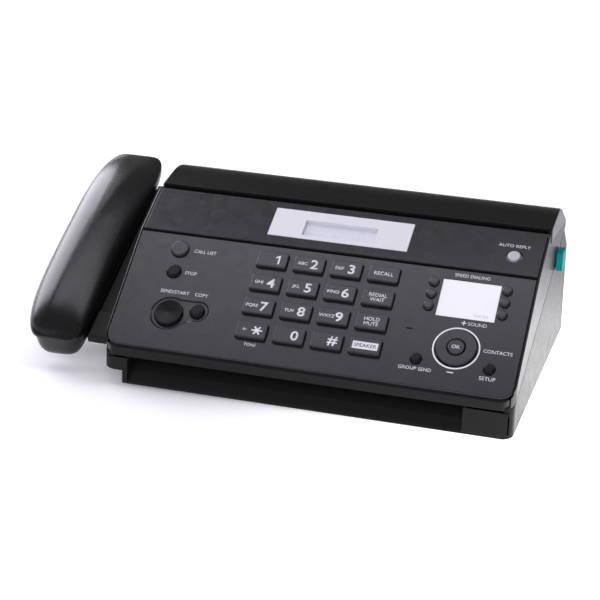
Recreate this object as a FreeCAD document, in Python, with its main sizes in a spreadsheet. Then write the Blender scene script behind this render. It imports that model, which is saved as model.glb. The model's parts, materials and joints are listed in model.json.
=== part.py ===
"""Desktop thermal-paper fax machine with a handset, as a parametric assembly of separate pieces.

Lengths are in millimetres and angles in degrees. The front faces -Y, +Z is up, and the origin is
the middle of the footprint at floor level. Every driving size is a cell of the sheet "dims".
"""
import FreeCAD
import Part
import math
import os
import re
import Sketcher

from FreeCAD import Placement, Rotation, Vector
from fcgear import fcgear
from fcgear import involute

SIZES = {
    # body envelope
    "body_left": -111.25,
    "body_width": 285,
    "front_y": -112,
    "rear_y": 112,
    "foot_height": 1.5,
    "wall": 2.5,
    "corner_radius": 10,
    "case_chamfer": 0.8,
    "cheek_round": 0.9,
    "cheek_lip": 1.25,
    "rear_round": 3,
    # operation panel and display panel
    "front_edge_z": 30.4,
    "panel_slope": 38.8,
    "panel_length": 94.4,
    "display_slope": 27.9,
    "display_length": 43,
    "plate_thick": 2.5,
    "plate_gap": 0.45,
    "groove_half": 1.1,
    # parting between the opening cover and the lower case
    "parting_z": 20.6,
    "parting_slope": 20.4,
    "parting_gap": 0.3,
    "guide_thick": 2,
    "cover_rear_y": 77,
    "shoulder_y": 97.5,
    "shoulder_z": 74,
    # document slot and top cover
    "slot_rear_y": 5,
    "slot_floor_z": 101.7,
    "top_front_z": 111.3,
    "top_crest_y": 42,
    "top_crest_z": 118.3,
    "top_crest_radius": 45,
    "top_rear_z": 99,
    "frame_rear_z": 96,
    # front bay with the exit slot
    "bay_left": 18.3,
    "bay_right": 252,
    "bay_depth": 26,
    "overhang_x": 14.7,
    "overhang_z": 11,
    # hinge of the opening cover
    "hinge_y": -109,
    "hinge_z": 22.6,
    "hinge_pin_radius": 0.9,
    "hinge_running_gap": 0.06,
    "hinge_boss_radius": 2,
    "hinge_relief_radius": 3.8,
    "hinge_lug_width": 4.6,
    "hinge_ear_width": 6,
    # push buttons
    "hole_gap": 0.4,
    "flange_low": -4.4,
    "flange_thick": 1.4,
    "flange_margin": 1,
    "key_width": 21.3,
    "key_depth": 12.2,
    "key_top": 2.8,
    "key_corner": 1.2,
    "key_gap": 0.55,
    "key_round": 0.8,
    "key_column": 101.4,
    "key_row": 80.9,
    "key_pitch_across": 26.43,
    "key_pitch_along": 19.18,
    "button_top": 2.2,
    "navigator_top": 1.6,
    "start_radius": 10,
    "start_round": 0.9,
    "small_radius": 5.2,
    "small_round": 1.6,
    "caller_radius": 6.3,
    "caller_round": 1,
    "touch_radius": 3.4,
    "touch_round": 1.2,
    "menu_radius": 3.9,
    "menu_round": 1.5,
    "navigator_x": 240.3,
    "navigator_s": 32.5,
    "navigator_radius": 13.6,
    "navigator_gap": 0.8,
    "set_radius": 5.6,
    "set_round": 0.6,
    "ring_inner": 14.85,
    "ring_outer": 16,
    "answer_radius": 4.4,
    "answer_round": 0.8,
    "answer_gap": 1.4,
    "recess_depth": 0.8,
    "recess_margin": 2.1,
    "recess_slope": 55,
    # display plate, card
    "bezel_left": 91,
    "bezel_right": 191.2,
    "bezel_low": 9.3,
    "bezel_high": 36.1,
    "bezel_sink": 0.7,
    "bezel_proud": 0.4,
    "window_left": 115,
    "window_right": 167,
    "window_low": 13,
    "window_high": 27.5,
    "window_depth": 3.2,
    "screen_thick": 1.6,
    "card_left": 221.3,
    "card_right": 261.1,
    "card_low": 56,
    "card_high": 85,
    "card_sink": 0.9,
    "card_thick": 0.6,
    # handset and cradle
    "handset_x": -42.5,
    "handset_y": -18.6,
    "handset_z": 62.5,
    "handset_slope": 27.4,
    "handset_width": 50,
    "handset_length": 192,
    "handset_corner": 19,
    "handset_crown": 23.7,
    "handset_end_height": 14,
    "handset_grip_depth": 6,
    "handset_end_depth": 13,
    "handset_end_start": 50,
    "handset_block_inset": 5,
    "seam_inset": 0.4,
    "cradle_gap": 0.6,
    # rollers, gears, roll
    "feed_y": -18.6,
    "feed_z": 45,
    "platen_y": 3.9,
    "platen_z": 53.4,
    "roller_radius": 8,
    "roller_left": 28,
    "roller_right": 246,
    "shaft_radius": 3,
    "shaft_gap": 0.05,
    "gear_module": 0.8,
    "gear_teeth": 20,
    "pinion_teeth": 12,
    "gear_distance": 13.05,
    "gear_left": 253.5,
    "gear_width": 7,
    "motor_radius": 13.5,
    "motor_left": 263.5,
    "motor_length": 18,
    "motor_shaft_radius": 1.5,
    "roll_y": 52.4,
    "roll_z": 51.9,
    "roll_radius": 25,
    "roll_core_radius": 6.5,
    "trough_radius": 28.5,
    "plate_left": 22,
    "plate_right": 249,
    "side_plate": 3,
    # release lever
    "lever_y": 45,
    "lever_z": 74,
    "lever_shaft_radius": 3,
    "lever_reach": 5,
    # fixings
    "foot_radius": 6.5,
    "foot_sink": 0.8,
    "screw_radius": 1.5,
    "screw_head_radius": 3,
}

doc = FreeCAD.newDocument("fax_machine")
sheet = doc.addObject("Spreadsheet::Sheet", "dims")
for row, (alias, size) in enumerate(SIZES.items(), start=1):
    sheet.set("A%d" % row, alias)
    sheet.set("B%d" % row, str(size))
    sheet.setAlias("B%d" % row, alias)
doc.recompute()

nodes = {}


def formula(text):
    """Turn a formula in plain size names into one that reads the sheet."""
    def named(match):
        word = match.group(0)
        return "dims." + word if word in SIZES else word
    return re.sub(r"[a-z][a-z_]*", named, str(text))


def number(text):
    """Give the present value of a formula."""
    return float(sheet.evalExpression(formula(text)))


def bind(item, prop, text):
    """Bind one property of an object to a formula."""
    item.setExpression(prop, formula(text))


def parting(along, lift=0):
    """Give the height of the parting surface at a depth, raised by a lift."""
    return "(parting_z + ((%s) - front_y) * tan(parting_slope) + (%s))" % (along, lift)


FRAMES = {
    "case": ("0", "0", "0"),
    "panel": ("front_y", "front_edge_z", "panel_slope"),
    "display": (
        "front_y + panel_length * cos(panel_slope)",
        "front_edge_z + panel_length * sin(panel_slope)",
        "display_slope",
    ),
    "deck": ("front_y", "parting_z", "parting_slope"),
    "handset": ("handset_y", "handset_z", "handset_slope"),
}


def place(item, frame, at=("0", "0", "0")):
    """Put an object in one of the tilted frames, at a point of that frame."""
    base_y, base_z, slope = FRAMES[frame]
    across, along, out = at
    item.Placement = Placement(Vector(), Rotation(Vector(1, 0, 0), max(number(slope), 0.001)))
    bind(item, "Placement.Rotation.Angle", slope)
    bind(item, "Placement.Base.x", "body_left + (%s)" % across)
    tilted = {
        "y": "%s + (%s) * cos(%s) - (%s) * sin(%s)" % (base_y, along, slope, out, slope),
        "z": "%s + (%s) * sin(%s) + (%s) * cos(%s)" % (base_z, along, slope, out, slope),
    }
    for axis, text in tilted.items():
        bind(item, "Placement.Base." + axis, text)


def new_body(label, frame="case", at=("0", "0", "0")):
    """Start a body in a frame."""
    body = doc.addObject("PartDesign::Body", label)
    body.Label = label
    place(body, frame, at)
    doc.recompute()
    return body


def rect(low_u, low_v, high_u, high_v):
    """Outline of a rectangle."""
    return [(low_u, low_v), (high_u, low_v), (high_u, high_v), (low_u, high_v)]


def centred(width, depth, mid_u="0", mid_v="0"):
    """Outline of a rectangle about a middle point."""
    half_u = "(%s) / 2" % width
    half_v = "(%s) / 2" % depth
    return rect(
        "(%s) - %s" % (mid_u, half_u), "(%s) - %s" % (mid_v, half_v),
        "(%s) + %s" % (mid_u, half_u), "(%s) + %s" % (mid_v, half_v),
    )


def rounded(low_u, low_v, high_u, high_v, low_radius, high_radius):
    """Outline of a rectangle with round corners, of one radius at the low end and one at the high end."""
    def bend(radius):
        return "(%s) * (1 - sqrt(0.5))" % radius

    def more(text, extra):
        return "(%s) + (%s)" % (text, extra)

    def less(text, extra):
        return "(%s) - (%s)" % (text, extra)
    low_bend = bend(low_radius)
    high_bend = bend(high_radius)
    return [
        (more(low_u, low_radius), low_v, (more(low_u, low_bend), more(low_v, low_bend))),
        (less(high_u, low_radius), low_v),
        (high_u, more(low_v, low_radius), (less(high_u, low_bend), more(low_v, low_bend))),
        (high_u, less(high_v, high_radius)),
        (less(high_u, high_radius), high_v, (less(high_u, high_bend), less(high_v, high_bend))),
        (more(low_u, high_radius), high_v),
        (low_u, less(high_v, high_radius), (more(low_u, high_bend), less(high_v, high_bend))),
        (low_u, more(low_v, low_radius)),
    ]


def ring(mid_u, mid_v, radius):
    """Outline of a circle."""
    return ("circle", mid_u, mid_v, radius)


def point_of(vertex):
    """Give the present place of an outline vertex."""
    return Vector(number(vertex[0]), number(vertex[1]), 0)


def draw_circle(sketch, loop):
    """Draw and size one circle."""
    tag, mid_u, mid_v, radius = loop
    centre = point_of((mid_u, mid_v))
    index = sketch.addGeometry(Part.Circle(centre, Vector(0, 0, 1), number(radius)))
    held = (
        (Sketcher.Constraint("DistanceX", -1, 1, index, 3, centre.x), mid_u),
        (Sketcher.Constraint("DistanceY", -1, 1, index, 3, centre.y), mid_v),
        (Sketcher.Constraint("Radius", index, number(radius)), radius),
    )
    for rule, text in held:
        place_in_list = sketch.addConstraint(rule)
        bind(sketch, "Constraints[%d]" % place_in_list, text)


def draw_outline(sketch, loop):
    """Draw and size one closed outline; a vertex with a third entry is reached by an arc through it."""
    count = len(loop)
    points = [point_of(vertex) for vertex in loop]
    lines = []
    for step in range(count):
        first = points[step]
        last = points[(step + 1) % count]
        target = loop[(step + 1) % count]
        if len(target) == 3:
            curve = Part.Arc(first, point_of(target[2]), last)
            index = sketch.addGeometry(curve)
            radius = sketch.Geometry[index].Radius
            sketch.addConstraint(Sketcher.Constraint("Radius", index, radius))
            flipped = sketch.Geometry[index].StartPoint.distanceToPoint(first) > 1e-6
            lines.append((index, 2 if flipped else 1, 1 if flipped else 2))
        else:
            index = sketch.addGeometry(Part.LineSegment(first, last))
            lines.append((index, 1, 2))
    for step in range(count):
        here = lines[step]
        after = lines[(step + 1) % count]
        sketch.addConstraint(Sketcher.Constraint("Coincident", here[0], here[2], after[0], after[1]))
    for step in range(count):
        index, start, end = lines[step]
        for kind, text, value in (
            ("DistanceX", loop[step][0], points[step].x),
            ("DistanceY", loop[step][1], points[step].y),
        ):
            place_in_list = sketch.addConstraint(Sketcher.Constraint(kind, -1, 1, index, start, value))
            bind(sketch, "Constraints[%d]" % place_in_list, text)


def new_sketch(body, plane, start, loops):
    """Make a sketch on one of the body's own planes, shifted along its normal."""
    sketch = body.newObject("Sketcher::SketchObject", "sketch")
    support = [item for item in body.Origin.OriginFeatures if item.Role == plane + "_Plane"][0]
    sketch.AttachmentSupport = [(support, "")]
    sketch.MapMode = "FlatFace"
    bind(sketch, "AttachmentOffset.Base.z", start)
    for loop in loops:
        if loop[0] == "circle":
            draw_circle(sketch, loop)
        else:
            draw_outline(sketch, loop)
    return sketch


def pad(body, plane, start, length, *loops):
    """Add material from a start along the plane's normal."""
    sketch = new_sketch(body, plane, start, loops)
    feature = body.newObject("PartDesign::Pad", "pad")
    feature.Profile = sketch
    bind(feature, "Length", length)
    doc.recompute()
    return feature


def pocket(body, plane, start, length, *loops, slope=None):
    """Remove material from a start along the plane's normal, widening by a slope if one is given."""
    before = body.Shape.Volume
    sketch = new_sketch(body, plane, start, loops)
    feature = body.newObject("PartDesign::Pocket", "pocket")
    feature.Profile = sketch
    feature.Reversed = True
    bind(feature, "Length", length)
    if slope:
        bind(feature, "TaperAngle", slope)
    doc.recompute()
    if not body.Shape.Volume < before - 1e-6:
        raise RuntimeError("a pocket of %s removes nothing" % body.Label)
    return feature


def dish(body, radius, top, depth):
    """Hollow the top of a round button to a shallow cone."""
    above = "(%s) + 1" % top
    outline = [("0", "(%s) - (%s)" % (top, depth)), (radius, top), (radius, above), ("0", above)]
    before = body.Shape.Volume
    sketch = new_sketch(body, "XZ", "0", [outline])
    feature = body.newObject("PartDesign::Groove", "dish")
    feature.Profile = sketch
    feature.ReferenceAxis = (sketch, ["V_Axis"])
    feature.Angle = 360
    doc.recompute()
    if not body.Shape.Volume < before - 1e-6:
        raise RuntimeError("a dish of %s removes nothing" % body.Label)


def dress(body, kind, size, test):
    """Round or chamfer every edge that passes a test."""
    base = body.Tip
    names = ["Edge%d" % (place + 1) for place, edge in enumerate(base.Shape.Edges) if test(edge)]
    if not names:
        raise RuntimeError("no edge to dress on %s" % body.Label)
    feature = body.newObject("PartDesign::" + kind, kind.lower())
    feature.Base = (base, names)
    bind(feature, "Radius" if kind == "Fillet" else "Size", size)
    doc.recompute()
    if "Invalid" in feature.State or feature.Shape.isNull():
        raise RuntimeError("a %s of %s failed" % (kind.lower(), body.Label))
    return feature


def straight(edge, axis):
    """Tell whether an edge is a straight line along one axis."""
    if edge.Curve.TypeId != "Part::GeomLine":
        return False
    run = edge.Vertexes[-1].Point - edge.Vertexes[0].Point
    run.normalize()
    return abs(getattr(run, axis)) > 0.999


def line_at(axis, **spots):
    """Test for straight edges along an axis whose middle has the given coordinates."""
    wanted = {name: number(text) for name, text in spots.items()}

    def test(edge):
        if not straight(edge, axis):
            return False
        middle = edge.CenterOfMass
        return all(abs(getattr(middle, name) - value) < 0.05 for name, value in wanted.items())
    return test


def upright_above(level):
    """Test for upright edges whose middle is above a level."""
    height = number(level)
    return lambda edge: straight(edge, "z") and edge.CenterOfMass.z > height


def crosswise_above(level):
    """Test for edges along X whose middle is above a level."""
    height = number(level)
    return lambda edge: straight(edge, "x") and edge.CenterOfMass.z > height


def flat_at(level):
    """Test for edges that lie wholly at one level."""
    height = number(level)

    def test(edge):
        box = edge.BoundBox
        return abs(box.ZMin - height) < 0.01 and abs(box.ZMax - height) < 0.01
    return test


def new_box(label, frame, low, size):
    """Make a box in a frame from its low corner and size."""
    box = doc.addObject("Part::Box", label)
    box.Label = label
    place(box, frame, low)
    for prop, text in zip(("Length", "Width", "Height"), size):
        bind(box, prop, text)
    return box


def cut_away(label, base, tools):
    """Cut several objects from a base object."""
    result = doc.addObject("Part::Cut", label)
    result.Label = label
    result.Base = base
    if len(tools) > 1:
        result.Tool = doc.addObject("Part::MultiFuse", label + "_tools")
        result.Tool.Shapes = tools
    else:
        result.Tool = tools[0]
    doc.recompute()
    return result


def keep(item):
    """Enter a finished piece under its label."""
    nodes[item.Label] = item
    return item


FULL = ("-1", "body_width + 2")
INNER = ("wall", "body_width - 2 * wall")


def make_lower_case():
    """Tub of the lower case: bay at the front, overhang at the left, open towards the cover."""
    case = new_body("lower_case")
    outer = [
        ("front_y", "parting_z"),
        ("front_y", "foot_height + case_chamfer"),
        ("front_y + case_chamfer", "foot_height"),
        ("rear_y - case_chamfer", "foot_height"),
        ("rear_y", "foot_height + case_chamfer"),
        ("shoulder_y", "shoulder_z"),
        ("cover_rear_y", parting("cover_rear_y")),
    ]
    pad(case, "YZ", "0", "body_width", outer)
    dress(case, "Fillet", "corner_radius", line_at("z", y="front_y"))
    dress(case, "Fillet", "4", line_at("x", y="shoulder_y"))
    dress(case, "Fillet", "rear_round", up_the_rear)

    def hollow(floor):
        return [
            ("front_y + wall", floor),
            ("rear_y - wall - 1", floor),
            ("shoulder_y - wall", "shoulder_z - 1"),
            ("cover_rear_y - wall", parting("cover_rear_y", "-wall")),
            ("cover_rear_y - wall", "130"),
            ("front_y + wall", "130"),
        ]
    main_bay = ("overhang_x + wall", "body_width - overhang_x - 2 * wall")
    pocket(case, "YZ", *main_bay, hollow("foot_height + wall"))
    pocket(case, "YZ", "wall", "overhang_x", hollow("overhang_z + wall"))
    pocket(case, "YZ", "-1", "overhang_x + 1", rect("front_y - 1", "0", "rear_y + 1", "overhang_z"))
    bay = [
        ("front_y - 1", "foot_height + 0.5"),
        ("front_y + 0.2", "foot_height + 0.9"),
        ("front_y + 9", "9"),
        ("front_y + bay_depth", "15.2"),
        ("front_y + bay_depth", "60"),
        ("front_y - 1", "60"),
    ]
    pocket(case, "YZ", "bay_left", "bay_right - bay_left", bay)
    floor = [
        ("front_y + 0.2", "foot_height + 0.9"),
        ("front_y + 9", "9"),
        ("front_y + bay_depth", "15.2"),
        ("front_y + bay_depth", "12.7"),
        ("front_y + 10", "6.6"),
        ("front_y + 4", "3"),
        ("front_y + 1", "foot_height + 0.6"),
    ]
    pad(case, "YZ", "bay_left - wall", "bay_right - bay_left + 2 * wall", floor)
    end_wall = [
        ("front_y + 1.2", "5"),
        ("front_y + 10", "8"),
        ("front_y + bay_depth", "13"),
        ("front_y + bay_depth", parting("front_y + bay_depth", "-0.2")),
        ("front_y + 4", parting("front_y + 4", "-0.2")),
        ("front_y + 4", "18.6"),
        ("front_y + 1.2", "18.6"),
    ]
    pad(case, "YZ", "bay_left - wall", "wall", end_wall)
    pad(case, "YZ", "bay_right", "wall", end_wall)
    sweep = [
        ("hinge_y", "hinge_z"),
        ("hinge_y - hinge_relief_radius", "hinge_z"),
        ("hinge_y", "hinge_z - hinge_relief_radius", (
            "hinge_y - hinge_relief_radius * sqrt(0.5)", "hinge_z - hinge_relief_radius * sqrt(0.5)")),
    ]
    pocket(case, "YZ", *FULL, sweep)
    gusset = [
        ("hinge_y + 0.1", "17"),
        ("hinge_y + 11", "14.5"),
        ("hinge_y + 11", parting("hinge_y + 11", "-1.5")),
        ("hinge_y + 2", "hinge_z - 0.3"),
        ("hinge_y + 0.1", "hinge_z - 0.3"),
    ]
    boss = ring("hinge_y", "hinge_z", "hinge_boss_radius")
    bore = ring("hinge_y", "hinge_z", "hinge_pin_radius")
    for low in ("wall", "body_width - wall - hinge_lug_width - 0.4"):
        inner = "%s + 0.4" % low if low == "wall" else low
        pad(case, "YZ", low, "hinge_lug_width + 0.4", gusset)
        pad(case, "YZ", inner, "hinge_lug_width", boss)
        pocket(case, "YZ", "%s - 0.5" % low, "hinge_lug_width + 1.4", bore)
    lever_hole = ring("lever_y", "lever_z", "lever_shaft_radius + shaft_gap")
    pocket(case, "YZ", "body_width - wall - 1", "wall + 2", lever_hole)
    inlet = rect("rear_y - 16", "9.7", "rear_y + 2", "28.3")
    pocket(case, "YZ", "235.7", "24.6", inlet)
    jacks = rect("rear_y - 16", "9.7", "rear_y + 2", "24.3")
    pocket(case, "YZ", "39.7", "34.6", jacks)
    screws = [ring(x, y, "screw_radius + 0.2") for x, y in screw_spots()]
    pocket(case, "XY", "foot_height - 0.5", "wall + 1", *screws)
    heads = [ring(x, y, "screw_head_radius + 0.3") for x, y in screw_spots()]
    pocket(case, "XY", "foot_height - 0.5", "2.1", *heads)
    feet = [ring(x, y, "foot_radius + 0.2") for x, y in foot_spots()]
    pocket(case, "XY", "foot_height - 0.5", "foot_sink + 0.5", *feet)
    slots = []
    for turn in range(7):
        mid = "215 + %d" % ((turn - 3) * 5)
        slots.append(centred("2", "%g" % (26 - 2 * abs(turn - 3)), mid, "-55"))
    pocket(case, "XY", "foot_height - 0.5", "wall + 1", *slots)
    posts = [ring(x, y, "3") for x, y in board_spots()]
    pad(case, "XY", "foot_height + wall", "4", *posts)
    for turn in range(9):
        vent = rect("rear_y - 14", "40", "rear_y + 2", "58")
        pocket(case, "YZ", "110 + %d" % (turn * 9), "3", vent)
    return keep(case)


def up_the_rear(edge):
    """Tell whether an edge runs up the rear of either side of the case."""
    box = edge.BoundBox
    at_side = box.XMax < 0.01 or box.XMin > number("body_width") - 0.01
    return at_side and box.YMin > number("shoulder_y") - 4 and box.ZLength > 20


def screw_spots():
    """Places of the case screws."""
    return [(x, y) for x in ("28.5", "245.5") for y in ("-70", "78")]


def foot_spots():
    """Places of the rubber feet."""
    return [(x, y) for x in ("32", "270") for y in ("-92", "96")]


def board_spots():
    """Places of the main board's stand-offs."""
    return [(x, y) for x in ("42", "168") for y in ("-74", "-32")]


def make_fixings():
    """Feet, screws and hinge pins."""
    solids = []
    for x, y in foot_spots():
        foot = new_body("foot")
        pad(foot, "XY", "0", "foot_height + foot_sink", ring(x, y, "foot_radius"))
        dress(foot, "Fillet", "0.5", flat_at("0"))
        solids.append(foot)
    group("rubber_feet", solids)
    solids = []
    for x, y in screw_spots():
        screw = new_body("screw")
        pad(screw, "XY", "foot_height + 0.3", "1.3", ring(x, y, "screw_head_radius"))
        pad(screw, "XY", "foot_height + 1.6", "8.4", ring(x, y, "screw_radius"))
        cross = centred("3.4", "0.8", x, y)
        pocket(screw, "XY", "foot_height - 0.2", "1.1", cross)
        cross = centred("0.8", "3.4", x, y)
        pocket(screw, "XY", "foot_height - 0.2", "1.1", cross)
        solids.append(screw)
    group("case_screws", solids)
    solids = []
    length = "hinge_lug_width + hinge_ear_width + 0.8"
    for low in ("wall + 0.4", "body_width - wall - 0.4 - (%s)" % length):
        pin = new_body("pin")
        pad(pin, "YZ", low, length, ring("hinge_y", "hinge_z", "hinge_pin_radius"))
        solids.append(pin)
    group("hinge_pins", solids)


def group(label, solids):
    """Gather alike pieces in one node."""
    item = doc.addObject("Part::Compound", label)
    item.Label = label
    item.Links = solids
    doc.recompute()
    keep(item)


def make_cover_frame():
    """Frame of the opening cover: cheeks, skirt, paper guide underneath, chute and hinge ears."""
    shell = new_body("cover_shell")
    end_y = "front_y + panel_length * cos(panel_slope)"
    end_z = "front_edge_z + panel_length * sin(panel_slope)"
    slot_y = "%s + display_length * cos(display_slope)" % end_y
    slot_z = "%s + display_length * sin(display_slope)" % end_z
    outer = [
        ("front_y", "parting_z + parting_gap"),
        ("front_y", "front_edge_z"),
        (end_y, end_z),
        (slot_y, slot_z),
        (slot_y, "slot_floor_z"),
        ("slot_rear_y", "slot_floor_z"),
        ("cover_rear_y", "frame_rear_z"),
        ("cover_rear_y", parting("cover_rear_y", "parting_gap")),
    ]
    pad(shell, "YZ", "0", "body_width", outer)
    dress(shell, "Fillet", "corner_radius", line_at("z", y="front_y"))
    dress(shell, "Fillet", "cheek_round", along_slope)
    lift = "parting_gap + guide_thick"
    bays = [
        [
            ("front_y + wall", parting("front_y + wall", lift)),
            ("-33", parting("-33", lift)),
            ("-33", "130"),
            ("front_y + wall", "130"),
        ],
        [
            ("-30.5", parting("-30.5", lift)),
            ("-17.6", parting("-17.6", lift)),
            ("-3.4", "99.6"),
            ("-3.4", "130"),
            ("-30.5", "130"),
        ],
        [
            ("-6.2", parting("-6.2", lift)),
            ("cover_rear_y - wall", parting("cover_rear_y - wall", lift)),
            ("cover_rear_y - wall", "130"),
            ("7.2", "130"),
            ("7.2", "100.5"),
        ],
    ]
    for bay in bays:
        pocket(shell, "YZ", *INNER, bay)
    chute = [
        (slot_y, "130"),
        (slot_y, "101"),
        ("-17", "52"),
        ("-12.1", "52"),
        ("slot_rear_y", "101"),
        ("slot_rear_y", "130"),
    ]
    pocket(shell, "YZ", "bay_left", "bay_right - bay_left", chute)
    ear_low = "wall + 0.4 + hinge_lug_width + 0.8"
    for low in (ear_low, "body_width - (%s) - hinge_ear_width" % ear_low):
        pad(shell, "YZ", low, "hinge_ear_width", ring("hinge_y", "hinge_z", "hinge_boss_radius"))
        hole = ring("hinge_y", "hinge_z", "hinge_pin_radius + hinge_running_gap")
        pocket(shell, "YZ", "%s - 1" % low, "hinge_ear_width + 2", hole)
    notch = "hinge_lug_width + 0.9"
    for low in ("wall", "body_width - wall - (%s)" % notch):
        pocket(shell, "YZ", low, notch, ring("hinge_y", "hinge_z", "hinge_boss_radius + 0.4"))
    catch = rect("29", "68.5", "34.4", parting("32", "1"))
    pad(shell, "YZ", "274", "4", catch)
    seat_width = "body_width - 2 * cheek_lip"
    head_length = "roller_right - roller_left + 1"
    seats = (
        ("panel_seat", "panel", ("cheek_lip", "-4", "-plate_thick"), (seat_width, "panel_length + 4", "12")),
        ("display_seat", "display", ("cheek_lip", "-3", "-plate_thick"), (seat_width, "display_length + 6", "12")),
        ("head_seat", "deck", ("roller_left - 0.5", "118.2", "-2"), (head_length, "20.4", "10.6")),
    )
    tools = [new_box(*seat) for seat in seats]
    return keep(cut_away("cover_frame", shell, tools))


def along_slope(edge):
    """Tell whether an edge runs up the sloped outline of either cheek of the cover."""
    box = edge.BoundBox
    at_side = box.XMax < 0.01 or box.XMin > number("body_width") - 0.01
    return at_side and box.YLength > 30 and box.ZLength > 15 and box.ZMax < 112


def key_spots():
    """Labels and places of the keypad keys."""
    names = (
        ("one", "two", "three", "recall"),
        ("four", "five", "six", "redial"),
        ("seven", "eight", "nine", "mute"),
        ("star", "zero", "hash", "speaker"),
    )
    spots = []
    for row, names_in_row in enumerate(names):
        for column, name in enumerate(names_in_row):
            across = "(key_column + %d * key_pitch_across)" % column
            along = "(key_row - %d * key_pitch_along)" % row
            spots.append(("key_" + name, across, along))
    return spots


def round_spots():
    """Labels, places and radii of the round buttons on the operation panel."""
    spots = [
        ("button_caller", "33.5", "80.9", "caller_radius"),
        ("button_stop", "34.1", "62.4", "small_radius"),
        ("button_start", "39.8", "29", "start_radius"),
        ("button_copy", "59.3", "33.2", "small_radius"),
        ("button_group", "215.6", "20.5", "menu_radius"),
        ("button_menu", "264.8", "20.1", "menu_radius"),
        ("button_set", "navigator_x", "navigator_s", "set_radius"),
    ]
    for place_in_list in range(6):
        across = "215.4" if place_in_list < 3 else "265.5"
        along = "81.2 - 9.6 * %d" % (place_in_list % 3)
        spots.append(("one_touch_%s" % "abcdef"[place_in_list], across, along, "touch_radius"))
    return spots


def make_keys():
    """Keypad keys and round buttons, each with a retaining flange below the panel."""
    cap_low = "flange_low + flange_thick"
    for label, across, along in key_spots():
        key = new_body(label, "panel", (across, along, "0"))
        wide = ("key_width + 2 * flange_margin", "key_depth + 2 * flange_margin")
        pad(key, "XY", "flange_low", "flange_thick", centred(*wide))
        pad(key, "XY", cap_low, "key_top - (%s)" % cap_low, centred("key_width", "key_depth"))
        dress(key, "Fillet", "key_corner", upright_above(cap_low))
        dress(key, "Fillet", "key_round", flat_at("key_top"))
        keep(key)
    for label, across, along, radius in round_spots():
        button = new_body(label, "panel", (across, along, "0"))
        make_round(button, radius, "button_top")
        if label == "button_start":
            dish(button, "start_radius - 1", "button_top", "0.9")
        keep(button)
    answer = new_body("button_answer", "display", ("264.2", "17.5", "0"))
    make_round(answer, "answer_radius", "1.3")
    keep(answer)
    rocker = new_body("navigator_key", "panel", ("navigator_x", "navigator_s", "0"))
    hole = ring("0", "0", "set_radius + navigator_gap")
    thin = "flange_thick / 2"
    pad(rocker, "XY", "flange_low", thin, ring("0", "0", "navigator_radius + 1.2"), hole)
    rise = "navigator_top - flange_low - %s" % thin
    pad(rocker, "XY", "flange_low + %s" % thin, rise, ring("0", "0", "navigator_radius"), hole)
    dress(rocker, "Fillet", "0.6", flat_at("navigator_top"))
    keep(rocker)


def make_round(button, radius, top):
    """Round cap on a retaining flange."""
    cap_low = "flange_low + flange_thick"
    margins = {"set_radius": "0.4", "touch_radius": "0.7", "answer_radius": "answer_gap + flange_margin"}
    margin = margins.get(radius, "flange_margin")
    pad(button, "XY", "flange_low", "flange_thick", ring("0", "0", "%s + %s" % (radius, margin)))
    pad(button, "XY", cap_low, "%s - (%s)" % (top, cap_low), ring("0", "0", radius))
    dress(button, "Fillet", radius.replace("radius", "round"), flat_at(top))


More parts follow.
